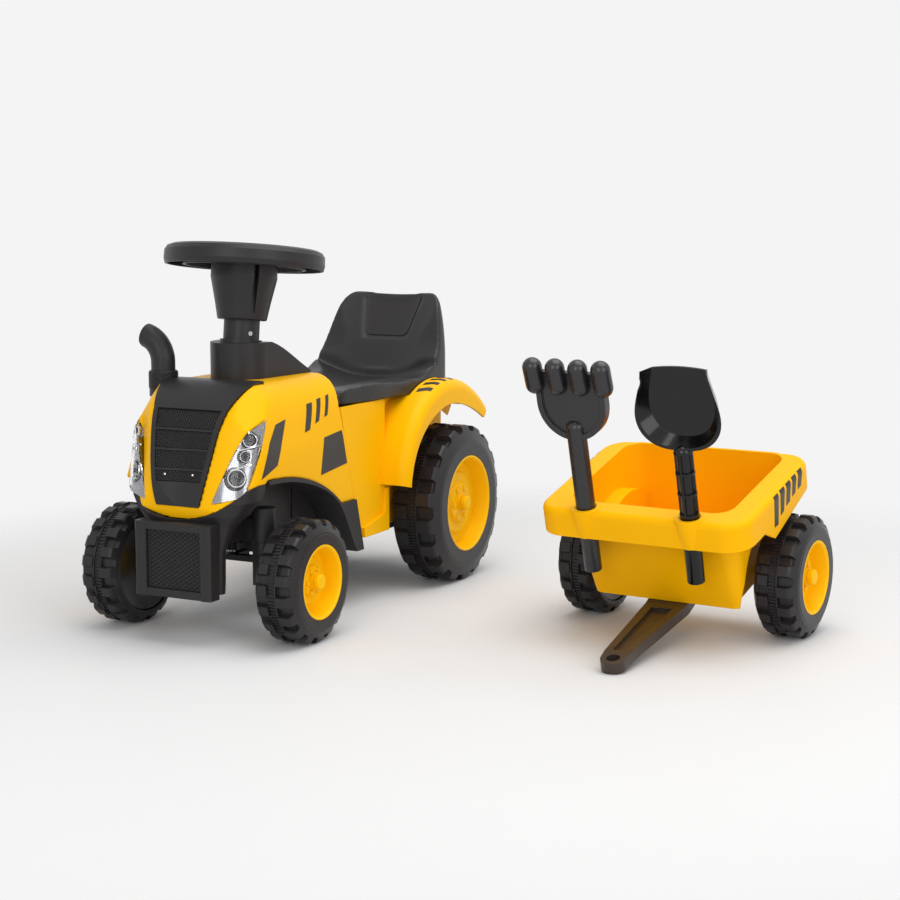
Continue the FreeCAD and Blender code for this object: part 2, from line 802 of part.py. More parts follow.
def steering_wheel():
    """The rim, hollow from below, with three spokes, webs under them and a hub."""
    outer = steering_radius
    inner = steering_radius - rim_width
    half = rim_height / 2
    rim = spun([(-half, outer - 1.5), (-half / 2, outer), (half * 0.4, outer - 0.5),
                (half * 0.8, outer - 3.5),
                (half, outer - 9), (half, outer - 15), (half * 0.8, inner + 4), (half * 0.35, inner + 1),
                (-half, inner)], "Z")
    hollow = spun([(-half - 1, outer - rim_wall - 1), (half * 0.3, outer - rim_wall - 1),
                   (half * 0.7, outer - 9),
                   (half * 0.7, outer - 15), (half * 0.3, inner + rim_wall + 1),
                   (-half - 1, inner + rim_wall)], "Z")
    rim = rim.cut(hollow)
    pieces = [rim, rod(V(0, 0, half - 4 - hub_depth), V(0, 0, 1), wheel_hub_radius, hub_depth)]
    low = half - 4 - hub_depth
    for turn in spoke_turns:
        spoke = plate("Z", half - 12, half - 4, [(wheel_hub_radius - 6, -spoke_width / 2),
                                                 (inner + 1.5, -spoke_width / 2 - 4),
                                                 (inner + 1.5, spoke_width / 2 + 4),
                                                 (wheel_hub_radius - 6, spoke_width / 2)])
        for side in (-1, 1):
            y = side * (spoke_width / 2 - 4)
            web = plate("Y", y - 2, y + 2, [(wheel_hub_radius - 3, low), (inner + 1.5, half - 12),
                                            (inner + 1.5, half - 11), (wheel_hub_radius - 3, half - 11)])
            spoke = spoke.fuse(web)
        spoke.rotate(V(0, 0, 0), V(0, 0, 1), turn - 90)
        pieces.append(spoke)
    wheel = joined(pieces)
    well = rod(V(0, 0, half - 4 - button_travel - 5), V(0, 0, 1), button_radius + running, big)
    return on_column(wheel.cut(well))


def horn_button():
    """The round button in the middle of the wheel, with a domed top."""
    floor = rim_height / 2 - 4 - button_travel - 5 + button_travel + swing
    form = rod(V(0, 0, floor), V(0, 0, 1), button_radius, button_height)
    return on_column(rounded(form, 2.5, lambda c, b: c.z > floor + button_height - 0.1 and b.XLength > 1))


def steering_sleeve():
    """The tapered sleeve under the wheel, with a moulded groove in its side."""
    top = rim_height / 2 - 4 - hub_depth - seam
    low = top - sleeve_length
    bore = column_radius + running
    form = spun([(top, bore), (top, sleeve_top_radius - 0.5),
                 (top - 0.25 * sleeve_length, sleeve_top_radius),
                 (top - 0.7 * sleeve_length, sleeve_top_radius * 0.35 + sleeve_low_radius * 0.65),
                 (low + 1, sleeve_low_radius), (low, sleeve_low_radius - 1), (low, bore)], "Z")
    groove = plate("Z", low + 8, top + 1, [(sleeve_low_radius - 1.5, -3), (big, -3), (big, 3),
                                           (sleeve_low_radius - 1.5, 3)])
    groove.rotate(V(0, 0, 0), V(0, 0, 1), -35)
    return on_column(form.cut(groove))


def steering_column():
    """The tube between the sleeve and the cowl, closed below round the shaft."""
    top = rim_height / 2 - 4 - hub_depth - seam
    low = (cowl_top - wheel_height) / math.cos(math.radians(column_lean)) - 2 * bush_length
    hollow = column_radius - 2 * bush_wall / 2
    return on_column(spun([(top, column_radius), (low, column_radius), (low, shaft_radius + running),
                           (low + 8, shaft_radius + running), (low + 8, hollow), (top, hollow)], "Z"))


def crank_level():
    """Height of the crank's lower face on the steering axis, measured from the wheel."""
    return (tie_rod_low + tie_rod_height + 1.5 - wheel_height) / math.cos(math.radians(column_lean))


def crank_peg():
    """Where the crank's peg meets the tie rod at rest."""
    lean = math.radians(column_lean)
    along = crank_level() - tie_rod_height / 2 - 1.5
    return V(0, column_top_y + crank_radius * math.cos(lean) + along * math.sin(lean),
             wheel_height + along * math.cos(lean) - crank_radius * math.sin(lean))


def steering_shaft():
    top = rim_height / 2 - 4 - hub_depth - 1
    low = crank_level()
    return on_column(rod(V(0, 0, low), V(0, 0, 1), shaft_radius, top - low))


def steering_crank():
    """The crank at the foot of the shaft, whose peg moves the tie rod."""
    low = crank_level() + 2.6
    form = [rod(V(0, 0, low), V(0, 0, 1), 2 * shaft_radius, crank_height)]
    form.append(block(-5, 5, 0, crank_radius, low, low + crank_height - 1))
    form.append(rod(V(0, crank_radius, low), V(0, 0, 1), 5, crank_height - 1))
    form.append(rod(V(0, crank_radius, low - 2.6 - tie_rod_height - 1), V(0, 0, 1), peg_radius,
                    crank_height + tie_rod_height))
    return on_column(joined(form).cut(rod(V(0, 0, low - 1), V(0, 0, 1), shaft_radius + running,
                                          crank_height + 2)))


def column_screw():
    """The screw that holds the column tube, on its left front side."""
    z = (cowl_top + 9 - wheel_height) / math.cos(math.radians(column_lean))
    head = rod(V(column_radius - 2.5, 0, z), V(1, 0, 0), screw_head_radius, 3.2)
    head = head.cut(block(column_radius, big, -0.5, 0.5, z - 2, z + 2))
    head.rotate(V(0, 0, 0), V(0, 0, 1), -28)
    return on_column(head)


# Wheels, built about the X axis with the outer face at x = 0 and the rest towards -X

def wheel_hub(radius, boss_end):
    """A dished hub with stepped discs, bolt heads and a bored boss that ends at boss_end."""
    bore = axle_radius + running
    lip = radius - hub_wall
    nose = -cap_length - swing - 1
    form = spun([(nose, bore), (nose, cap_radius + 2), (nose - 4, cap_radius + 2),
                 (nose - 4, radius * 0.40),
                 (nose - 8, radius * 0.44), (nose - 8, radius * 0.62), (nose - 11, radius * 0.66),
                 (nose - 11, lip - 4), (-2, lip), (0, lip + 1.5), (0, radius - 0.5), (-1, radius),
                 (-hub_web, radius),
                 (-hub_web, 1.2 * cap_radius + 3), (boss_end, 1.2 * cap_radius + 3), (boss_end, bore)],
                 "X")
    for i in range(hub_bolt_count):
        turn = 2 * math.pi * i / hub_bolt_count
        place = radius * 0.33
        bolt = rod(V(nose - 5, place * math.cos(turn), place * math.sin(turn)), V(1, 0, 0),
                   radius * 0.05 + 0.6, 3)
        form = form.fuse(bolt)
    return form.removeSplitter()


def lug_ring(radius, start, end, shift):
    """A toothed ring: the lugs of one side of a tyre, full to the middle."""
    pitch = 2 * math.pi / lug_count
    valley = radius - lug_height - 1
    points = []
    for i in range(lug_count):
        turn = pitch * (i + shift) - math.pi / 2
        for reach, share in ((valley, -0.31), (radius, -0.23), (radius, 0.23), (valley, 0.31)):
            angle = turn + share * pitch
            points.append((reach * math.cos(angle), reach * math.sin(angle)))
    return plate("X", start, end, points)


def tyre(radius, width, bead):
    """A moulded tyre, open on the inside, with lugs on both shoulders and bands between them."""
    core = radius - lug_height
    side = bead + 0.5 * (radius - bead)
    full = spun([(0, 1), (0, bead + 4), (0, side - 3), (-4, core - 6), (-9, core), (9 - width, core),
                 (4 - width, core - 6), (-width, core - 9), (-width, 1)], "X")
    bands = spun([(-0.40 * width, 1), (-0.40 * width, radius - 2), (-0.44 * width, radius - 2),
                  (-0.45 * width, radius - 4), (-0.62 * width, radius - 4), (-0.62 * width, 1)], "X")
    limit = spun([(-0.5, 1), (-0.5, side), (-6, radius - 2), (-9, radius), (9 - width, radius),
                  (6 - width, radius - 2), (0.5 - width, core - 4), (0.5 - width, 1)], "X")
    lugs = lug_ring(radius, -0.41 * width, 0, 0.0).fuse(lug_ring(radius, -width, -0.61 * width,
                                                                 0.5)).common(limit)
    bed = core - tyre_wall
    hollow = spun([(1, 0.5), (1, bead + seam), (-tyre_wall - 1, bead + seam), (-tyre_wall - 1, side - 3),
                   (-tyre_wall - 8, bed), (9 - width, bed), (-width - 1, bed - 4), (-width - 1, 0.5)],
                   "X")
    return joined([full, bands, lugs]).cut(hollow)


def axle_cap():
    """A push-on cap over the end of an axle, with a domed face."""
    form = rod(V(-cap_length, 0, 0), V(1, 0, 0), cap_radius, cap_length)
    form = rounded(form, 2.5, lambda c, b: c.x > -0.1 and b.YLength > 1)
    return form.cut(rod(V(-cap_length - 1, 0, 0), V(1, 0, 0), axle_radius + running, cap_length - 1))


def at(shape, x, y, z):
    placed = shape.copy()
    placed.translate(V(x, y, z))
    return placed


# Rear body, fenders and seat

def behind_split(inset):
    """Everything behind the leaning joint with the hood, drawn back by inset."""
    return plate("X", -big, big, [(split_y(0) + inset, 0), (hood_rear + inset, split_height),
                                  (hood_rear + inset, big), (big, big), (big, 0)])


def body_plan(inset, low, high):
    """The rear body in plan: wide side panels, then a waist between the rear wheels."""
    half = body_half - inset
    waist = body_waist - inset
    rear = body_rear - inset
    step = body_step - inset
    curve = [(half, step - 8), (half - 2, step + 1), (waist + 3, step + 12), (waist, step + 22)]
    tail = [(waist, rear - 16), (waist - 4, rear - 5), (waist - 15, rear)]
    left = [[(half, hood_rear - 10), curve[0]], curve, [curve[-1], tail[0]], tail]
    right = [[(-x, y) for x, y in reversed(run)] for run in reversed(left)]
    back = [[tail[-1], (-tail[-1][0], rear)]]
    front = [[(-half, hood_rear - 10), (half, hood_rear - 10)]]
    return prism("Z", low, high, front + left + back + right)


def fender_run(share, sink):
    """The crown moved towards the wheel by a share of the rolled edge's depth and by sink."""
    run = []
    for y, z, depth in fender_crown:
        reach = math.hypot(y, z)
        scale = 1 - (share * depth + sink) / reach
        run.append((y * scale, z * scale + rear_wheel_radius))
    return run


def fender_band(top, low, x0, x1):
    return prism("X", x0, x1, [top, [top[-1], low[-1]], low[::-1], [low[0], top[0]]])


def fender():
    """The left fender: a rounded crown with a rolled outer edge, open below."""
    form = fender_band(fender_run(0, 0), fender_run(1, 0), body_waist - 2, fender_half)
    peak = max(z for y, z in fender_run(0, 0))
    form = rounded(form, fender_round,
                   lambda c, b: b.XMin > fender_half - 0.1 and b.ZMax > peak - 2 and b.YLength > 99)
    hollow = fender_band(fender_run(0, fender_wall), fender_run(1, 2), body_waist,
                         fender_half - fender_wall)
    hollow = rounded(hollow, fender_round - fender_wall,
                     lambda c, b: b.XMin > fender_half - fender_wall - 0.1
                     and b.ZMax > peak - fender_wall - 2 and b.YLength > 99)
    form = form.cut(hollow)
    return form.cut(block(0, seat_half + 3 * swing, -big, big, body_top, big))


def foot_ledge():
    """The raised edge along the bottom and back of the left side panel."""
    low = body_low
    back = body_step - 1
    front = split_y(low) + 4
    return plate("X", body_half - panel_wall, body_half + ledge_proud, [
        (front, low), (back, low), (back, low + 54), (back - 5, low + 54), (back - 10, low + 22),
        (front, low + 12)])


def rear_body():
    """The yellow rear body: side panels, fenders and the storage bin under the seat."""
    form = body_plan(0, body_low, body_top).common(behind_split(seam))
    form = form.cut(body_plan(panel_wall + 1, store_floor,
                              body_top + 1).common(behind_split(panel_wall + 1)))
    form = form.cut(body_plan(panel_wall, 0, store_floor - panel_wall).common(behind_split(panel_wall)))
    wing = fender().fuse(foot_ledge())
    form = joined([form, wing, mirrored(wing)])
    bearing = rod(V(-big, 0, rear_wheel_radius), V(1, 0, 0), axle_radius + 2, 2 * big)
    return form.cut(bearing)


def seat_back_way():
    """The slope of the backrest, and the way that its front faces."""
    rise = V(0, 0.571, 0.821)
    return rise, V(0, -rise.z, rise.y)


def seat_scoop(extra):
    """The hollow of the backrest, a shallow round trough along its slope."""
    rise, facing = seat_back_way()
    way = rise + facing * scoop_fade
    base = V(0, 10, body_top + 46) + facing * (scoop_radius - back_scoop) - way * 40
    return rod(base, way, scoop_radius + extra, 260)


def seat_form():
    """The seat's outer form: side profile, front outline and plan, each cutting the others."""
    low = body_top + swing
    top = body_top + seat_edge
    back = seat_back_top
    front = seat_front
    sole = [(front, seat_pin_height - 1), (front + 2, low + 2.1), (front + 6, low + 0.6),
            (front + 12, low)]
    crest = [(seat_rear - 7, back - 13), (seat_rear - 12, back - 2), (seat_rear - 21, back),
             (seat_rear - 30, back - 7)]
    rest = [crest[-1], (28, back - 45), (10, back - 79), (-18, top + 6), (-60, top + 1)]
    pan = [rest[-1], (-140, top + 2), (-205, top), (front + 6, top - 6), sole[0]]
    side = prism("X", -big, big, [sole, [sole[-1], (seat_rear, low)], [(seat_rear, low), crest[0]],
                                  crest, rest, pan])
    cheek = [(seat_half, low + 20), (seat_half - 3, low + 48), (seat_half - 9, low + 78),
             (seat_half - 16, low + 103),
             (seat_back_top_half, back - 9), (seat_back_top_half - 20, back - 1.5)]
    left = [[(seat_half, low - 1), cheek[0]], cheek]
    right = [[(-x, z) for x, z in reversed(run)] for run in reversed(left)]
    brow = [cheek[-1], (0, back + 0.5), (-cheek[-1][0], cheek[-1][1])]
    face = prism("Y", -big, big, [[(-seat_half, low - 1), (seat_half, low - 1)]] + left + [brow] + right)
    half = seat_front_half
    flank = [(half - 19, front), (half - 5, front + 6), (half + 1, front + 27), (half + 9, front + 82),
             (seat_half, front + 142)]
    left = [flank, [flank[-1], (seat_half, seat_rear - 62)]]
    right = [[(-x, y) for x, y in reversed(run)] for run in reversed(left)]
    wrap = [(seat_half, seat_rear - 62), (seat_half - 4, seat_rear - 38),
            (seat_half - 28, seat_rear - 16)]
    wrap = wrap + [(0, seat_rear)] + [(-x, y) for x, y in reversed(wrap)]
    plan = prism("Z", 0, big, [[(19 - half, front), (half - 19, front)]] + left + [wrap] + right)
    return side.common(face).common(plan)


def seat():
    """The moulded seat lid: a dished pan and backrest with a bare sunk panel."""
    low = body_top + swing
    form = seat_form()
    trough = rod(V(0, -big, body_top + seat_edge + 1 - pan_scoop + scoop_radius), V(0, 1, 0),
                 scoop_radius, big + 5)
    form = form.cut(trough).cut(seat_scoop(0))
    panel = plate("Y", -big, big, [(33, seat_back_top - 63), (45, seat_back_top - 6),
                                   (-45, seat_back_top - 6),
                                   (-33, seat_back_top - 63)])
    form = form.cut(seat_scoop(panel_sink).common(panel).common(block(-big, big, -big, seat_rear - 14, 0,
                                                                      big)))
    inset = 2 * seat_wall
    form = form.cut(block(-seat_front_half + inset + 4, seat_front_half - inset - 4,
                          seat_pin_y + 3 * inset, seat_rear - 3 * inset,
                          0, body_top + seat_edge - pan_scoop - seat_wall))
    notch = hinge_half + swing
    form = form.cut(block(-notch, notch, -big, seat_pin_y + hinge_arm, 0, big))
    return form.cut(rod(V(-notch - hinge_arm, seat_pin_y, seat_pin_height), V(1, 0, 0),
                        seat_pin_radius + running, 2 * (notch + hinge_arm)))


def seat_hinge_bracket():
    """The knuckle on the body's front rim that carries the seat's pin."""
    reach = seat_pin_height - body_top
    foot = block(-hinge_half, hinge_half, hood_rear + 2, seat_pin_y + hinge_arm - 1, body_top,
                 body_top + 3)
    form = foot.fuse(block(-hinge_half, hinge_half, seat_pin_y - 6, seat_pin_y + 6, body_top,
                           seat_pin_height))
    form = form.fuse(rod(V(-hinge_half, seat_pin_y, seat_pin_height), V(1, 0, 0), reach - 1,
                         2 * hinge_half))
    return form.removeSplitter().cut(rod(V(-big, seat_pin_y, seat_pin_height), V(1, 0, 0),
                                         seat_pin_radius + running, 2 * big))


def seat_hinge_pin():
    half = hinge_half + hinge_arm - 0.5
    return rod(V(-half, seat_pin_y, seat_pin_height), V(1, 0, 0), seat_pin_radius, 2 * half)


# Rear axle, hitch and screws

def rear_axle():
    end = rear_wheel_face - axle_end
    return rod(V(-end, 0, rear_wheel_radius), V(1, 0, 0), axle_radius, 2 * end)


def hitch_bracket():
    """The tongue under the pan that carries the hitch pin."""
    half = 2.6 * hitch_pin_radius
    low = pan_low - hitch_plate
    form = block(-half, half, body_rear - 60, hitch_y, low, pan_low)
    form = form.fuse(rod(V(0, hitch_y, low), V(0, 0, 1), half, hitch_plate))
    for side in (-1, 1):
        x = side * (half - 2)
        form = form.fuse(block(x - 2, x + 2, body_rear - 60, hitch_y, low - 5, low))
    return form.removeSplitter().cut(rod(V(0, hitch_y, 0), V(0, 0, 1), hitch_pin_radius - 2, big))


def hitch_pin():
    """The upright hitch pin with a rounded head and a spigot in the tongue."""
    spigot = rod(V(0, hitch_y, pan_low - hitch_plate), V(0, 0, 1), hitch_pin_radius - 2 - running,
                 hitch_plate + 2)
    pin = rod(V(0, hitch_y, pan_low), V(0, 0, 1), hitch_pin_radius, hitch_pin_height)
    pin = rounded(pin, hitch_pin_round, lambda c, b: c.z > pan_low + hitch_pin_height - 0.1 and b.XLength > 1)
    return pin.fuse(spigot).removeSplitter()


def pan_screws():
    """Screw heads under the pan, each with a cross slot."""
    heads = []
    for y in (pan_step + 25, -60.0):
        for side in (-1, 1):
            centre = V(side * (pan_half - 16), y, pan_low - 2.5)
            head = rod(centre, V(0, 0, 1), 4.5, 2.5)
            head = head.cut(block(centre.x - 3, centre.x + 3, y - 0.5, y + 0.5, centre.z - 1,
                                  centre.z + 1))
            heads.append(head.cut(block(centre.x - 0.5, centre.x + 0.5, y - 3, y + 3, centre.z - 1,
                                        centre.z + 1)))
    return Part.makeCompound(heads)


# Trailer, built level about the middle of its axle

def soft_outline(points, radius, z):
    """A level polygon with every corner rounded by an arc."""
    edges = []
    ends = []
    count = len(points)
    for i in range(count):
        corner = V(points[i][0], points[i][1], z)
        before = V(points[i - 1][0], points[i - 1][1], z) - corner
        after = V(points[(i + 1) % count][0], points[(i + 1) % count][1], z) - corner
        half = before.getAngle(after) / 2
        before.normalize()
        after.normalize()
        reach = radius / math.tan(half)
        middle = before + after
        middle.normalize()
        start = corner + before * reach
        stop = corner + after * reach
        top = corner + middle * (radius / math.sin(half) - radius)
        edges.append(Part.Arc(start, top, stop).toShape())
        ends.append((start, stop))
    for i in range(count):
        edges.append(Part.LineSegment(ends[i][1], ends[(i + 1) % count][0]).toShape())
    return Part.Wire(Part.__sortEdges__(edges))


def tub_section(inset, z, front, rear, half_front, half_rear, radius):
    corners = [(half_front - inset, front + inset), (half_rear - inset, rear - inset),
               (inset - half_rear, rear - inset), (inset - half_front, front + inset)]
    return soft_outline(corners, radius, z)


def tub_form(inset, low):
    """The bed's tapered form, drawn in by inset, from the height low to the rim."""
    top_front = rim_front + rim_flange
    low_wire = tub_section(inset, low, bed_front, bed_rear, bed_half, bed_half, bed_low_corner)
    top_wire = tub_section(inset, rim_top, top_front, rim_rear - bed_wall, rim_half_front - rim_flange,
                           rim_half_rear - rim_flange, bed_high_corner)
    return Part.makeLoft([low_wire, top_wire], True, False)


def rim_form():
    """The rolled rim: a flat top with a skirt that hangs down outside the bed."""
    deepest = rim_top - flange_side_depth - 5
    face = Part.Face(tub_section(0, deepest, rim_front, rim_rear, rim_half_front, rim_half_rear,
                                 rim_corner))
    form = face.extrude(V(0, 0, rim_top - deepest))
    form = rounded(form, rim_round, lambda c, b: c.z > rim_top - 0.1 and c.y < rim_rear - 0.1)
    under = Part.Face(tub_section(bed_wall, 0, rim_front, rim_rear, rim_half_front, rim_half_rear,
                                  rim_corner - bed_wall))
    form = form.cut(under.extrude(V(0, 0, rim_top - bed_wall)))
    front_low = rim_top - flange_front_depth
    side_low = rim_top - flange_side_depth
    corner = rim_front + 1.9 * rim_corner
    keep = plate("X", -big, big, [(-big, front_low), (corner, front_low), (corner + 26, side_low),
                                  (rim_rear, front_low + 5), (big, front_low + 5), (big, big),
                                  (-big, big)])
    return form.common(keep)


def wheel_bulge(grow, inner, outer):
    radius = front_wheel_radius + arch_clearance + grow
    return rod(V(inner, 0, 0), V(1, 0, 0), radius, outer - inner)


def trailer_tub():
    """The open bed with its rim, wheel arch bulges, tool holders and axle tunnel."""
    outer = tub_form(0, bed_floor)
    inner = tub_form(bed_wall, bed_floor + bed_wall)
    form = outer.fuse(rim_form()).cut(inner)
    form = form.fuse(rod(V(-arch_reach, 0, 0), V(1, 0, 0), axle_radius + bed_wall, 2 * arch_reach))
    form = form.fuse(rod(V(0, drawbar_pivot, bed_floor), V(0, 0, 1), 2 * drawbar_pin_radius,
                         pin_depth + bed_wall))
    for side in (-1, 1):
        bulge = wheel_bulge(bed_wall, arch_reach, bed_half + rim_flange)
        recess = wheel_bulge(0, arch_reach + bed_wall, bed_half + rim_flange)
        if side < 0:
            bulge = mirrored(bulge)
            recess = mirrored(recess)
        form = form.fuse(bulge.common(outer)).cut(recess)
    for x in (rake_x, shovel_x):
        top = handle_radius + holder_wall
        cone = Part.makeCone(top * 0.45, top, holder_depth, V(x, holder_y, rim_top - holder_depth))
        form = form.fuse(cone)
    form = form.removeSplitter()
    for x in (rake_x, shovel_x):
        form = form.cut(rod(V(x, holder_y, 0), V(0, 0, 1), handle_radius - handle_shoulder + running,
                            big))
    form = form.cut(rod(V(0, drawbar_pivot, bed_floor - 1), V(0, 0, 1), drawbar_pin_radius,
                        pin_depth + 1))
    return form.cut(rod(V(-big, 0, 0), V(1, 0, 0), axle_radius + running, 2 * big))


def drawbar_side(top, low):
    """The drawbar seen from the side: level under the bed, rising in front of it, level at the eye."""
    knee = bed_front - drawbar_knee
    neck = drawbar_eye + drawbar_eye_half
    top = bed_floor + top - swing
    low = bed_floor + low
    return plate("X", -big, big, [(drawbar_root, top), (knee, top), (neck, top + drawbar_rise),
                                  (drawbar_end, top + drawbar_rise), (drawbar_end, low + drawbar_rise),
                                  (neck, low + drawbar_rise), (knee, low), (drawbar_root, low)])


def trailer_drawbar():
    """The tapered drawbar with a sunk face and a hitch eye."""
    plan = plate("Z", -big, big, [(drawbar_root_half, drawbar_root), (drawbar_root_half, bed_front),
                                  (drawbar_eye_half, drawbar_eye), (-drawbar_eye_half, drawbar_eye),
                                  (-drawbar_root_half, bed_front), (-drawbar_root_half, drawbar_root)])
    plan = plan.fuse(rod(V(0, drawbar_eye, -big), V(0, 0, 1), drawbar_eye_half, 2 * big))
    form = plan.common(drawbar_side(0, -drawbar_thickness))
    start = bed_front - 22
    stop = drawbar_eye + 2.4 * eye_radius
    well = plate("Z", -big, big, [(0.5 * drawbar_root_half, start), (0.5 * drawbar_eye_half, stop),
                                  (-0.5 * drawbar_eye_half, stop), (-0.5 * drawbar_root_half, start)])
    form = form.cut(well.common(drawbar_side(10, -0.35 * drawbar_thickness)))
    form = form.cut(rod(V(0, drawbar_eye, -big), V(0, 0, 1), eye_radius, 2 * big))
    form = form.cut(rod(V(0, drawbar_pivot, -big), V(0, 0, 1), drawbar_pin_radius + running, 2 * big))
    form = form.removeSplitter()
    form.rotate(V(0, drawbar_pivot, 0), V(0, 0, 1), drawbar_turn)
    return form


def drawbar_pin():
    """The pin that the drawbar turns on, with a wide head under it."""
    low = bed_floor - drawbar_thickness - swing
    pin = rod(V(0, drawbar_pivot, low - 1), V(0, 0, 1), drawbar_pin_radius,
              bed_floor + pin_depth - low + 1)
    head = rod(V(0, drawbar_pivot, low - 3), V(0, 0, 1), 2 * drawbar_pin_radius, 3)
    return pin.fuse(rounded(head, 1.0, lambda c, b: c.z < low - 2.9 and b.XLength > 1))


def trailer_axle():
    end = trailer_wheel_face - axle_end
    return rod(V(-end, 0, 0), V(1, 0, 0), axle_radius, 2 * end)


def trailer_pitch():
    """How far the bed tips forward when the drawbar's end rests on the floor, in degrees."""
    reach = drawbar_pivot - drawbar_end
    ahead = reach * math.cos(math.radians(drawbar_turn)) - drawbar_pivot
    below = drawbar_thickness - drawbar_rise - bed_floor
    turn = math.asin(front_wheel_radius / math.hypot(ahead, below)) - math.atan2(below, ahead)
    return math.degrees(turn)


def trailer_placed(shape):
    """Tip a level trailer piece forward, turn it and stand it beside the tractor."""
    placed = shape.copy()
    placed.rotate(V(0, 0, 0), V(1, 0, 0), trailer_pitch())
    placed.rotate(V(0, 0, 0), V(0, 0, 1), trailer_yaw)
    placed.translate(V(trailer_x, trailer_y, front_wheel_radius))
    return placed


# Rake and shovel, upright in the trailer's own frame

def tool_handle(x, top):
    """A round handle with a shoulder that sits on the holder."""
    low = rod(V(x, holder_y, handle_low), V(0, 0, 1), handle_radius - handle_shoulder,
              rim_top - handle_low + 1)
    low = rounded(low, 1.5, lambda c, b: c.z < handle_low + 0.1 and b.XLength > 1)
    seat_z = rim_top + swing / 2
    grip = rod(V(x, holder_y, seat_z), V(0, 0, 1), handle_radius, top - seat_z)
    return low.fuse(rounded(grip, handle_radius - 1.5, lambda c, b: c.z > top - 0.1 and b.XLength > 1))


def rake_outline(inset):
    half = rake_half - inset
    centre = rake_neck + rake_half - 8
    turns = [math.radians(15 * i) for i in range(13)]
    bowl = [(rake_x + half * math.cos(t), centre - half * math.sin(t)) for t in turns]
    brow = rake_top - 1.6 * rake_tine_radius
    return [bowl, [bowl[-1], (rake_x - half, brow)], [(rake_x - half, brow), (rake_x + half, brow)],
            [(rake_x + half, brow), bowl[0]]]


def capsule(base, way, radius, length):
    """A round bar with ball ends whose centres lie length apart."""
    tip = radius * math.sqrt(0.5)
    edges = [Part.Arc(V(0, 0, -radius), V(tip, 0, -tip), V(radius, 0, 0)).toShape(),
             Part.LineSegment(V(radius, 0, 0), V(radius, 0, length)).toShape(),
             Part.Arc(V(radius, 0, length), V(tip, 0, length + tip), V(0, 0, length + radius)).toShape(),
             Part.LineSegment(V(0, 0, length + radius), V(0, 0, -radius)).toShape()]
    form = Part.Face(Part.Wire(edges)).revolve(V(0, 0, 0), V(0, 0, 1), 360)
    form.Placement = FreeCAD.Placement(base, FreeCAD.Rotation(V(0, 0, 1), way))
    return form


def rake():
    """The rake: a sunk plate with thick round fingers on a round handle."""
    front = holder_y - rake_plate / 2
    form = prism("Y", front, front + rake_plate, rake_outline(0))
    form = form.cut(prism("Y", front - 1, front + 2.5, rake_outline(6.5)))
    form = form.fuse(tool_handle(rake_x, rake_neck + 15))
    pitch = (2 * rake_half + rake_tine_radius) / (rake_tine_count - 0.6)
    length = 1.9 * rake_tine_radius
    for i in range(rake_tine_count):
        x = rake_x + pitch * (i - (rake_tine_count - 1) / 2)
        low = V(x, holder_y - 4, rake_top - rake_tine_radius - length)
        way = V(0, -math.sin(0.12), math.cos(0.12))
        form = form.fuse(capsule(low, way, rake_tine_radius, length))
    return form.removeSplitter()


def shovel_wire(inset, y, top):
    """The scoop's rim or floor seen from the front."""
    half = shovel_half - inset
    low = shovel_neck + inset
    tall = top - low
    right = [(0.78 * half, top), (0.88 * half, low + 0.74 * tall), (half, low + 0.42 * tall),
             (0.93 * half, low + 0.24 * tall), (0.70 * half, low + 0.09 * tall),
             (0.32 * half, low + 0.01 * tall),
             (0.0, low)]
    sweep = right + [(-x, z) for x, z in reversed(right[:-1])]
    sweep = [(shovel_x + x, z) for x, z in sweep]
    crown = [sweep[-1], (shovel_x, top + 0.03 * tall), sweep[0]]
    return outline("Y", [sweep, crown], y)


def shovel():
    """The shovel: a thin scoop with sloping walls on a ribbed handle."""
    front = holder_y - 6.0
    back = front + shovel_depth
    outer = Part.makeLoft([shovel_wire(0, front, shovel_top),
                           shovel_wire(shovel_slope, back, shovel_top)], True, False)
    over = shovel_top + 4 * shovel_wall
    inner = Part.makeLoft([shovel_wire(shovel_wall, front - 0.01, over),
                           shovel_wire(shovel_slope + shovel_wall, back - shovel_wall, over)], True,
                           False)
    form = outer.cut(inner)
    handle = tool_handle(shovel_x, shovel_neck + 5)
    groove = handle_radius - 3.0
    gap = (shovel_neck - rim_top - 8) / shovel_ring_count
    for i in range(shovel_ring_count):
        low = rim_top + 6 + i * gap
        for turn in (0, 90, 180, 270):
            bite = block(1.2, handle_radius + 1, 1.2, handle_radius + 1, low, low + gap - 2.5)
            bite = bite.cut(rod(V(0, 0, low), V(0, 0, 1), groove, gap))
            bite.rotate(V(0, 0, 0), V(0, 0, 1), turn)
            bite.translate(V(shovel_x, holder_y, 0))
            handle = handle.cut(bite)
    return form.fuse(handle).removeSplitter()


# The whole set

def wheel_pair(name, radius, width, hub_radius, face, boss, y, place):
    """Left and right tyre and hub at a height of one wheel radius, set down by place."""
    rubber = tyre(radius, width, hub_radius)
    hub = wheel_hub(hub_radius, boss - face)
    parts = {}
    for side, turned in (("left", False), ("right", True)):
        for piece, shape in (("tyre", rubber), ("hub", hub)):
            placed = at(shape, face, 0, 0)
            if turned:
                placed = mirrored(placed)
            parts[name + "_" + piece + "_" + side] = place(placed, y, radius)
    return parts


def on_tractor(shape, y, z):
    return at(shape, 0, y, z)


def on_trailer(shape, y, z):
    return trailer_placed(at(shape, 0, y, z - front_wheel_radius))


def cap_pair(face):
    cap = at(axle_cap(), face - 1, 0, 0)
    return Part.makeCompound([cap, mirrored(cap)])


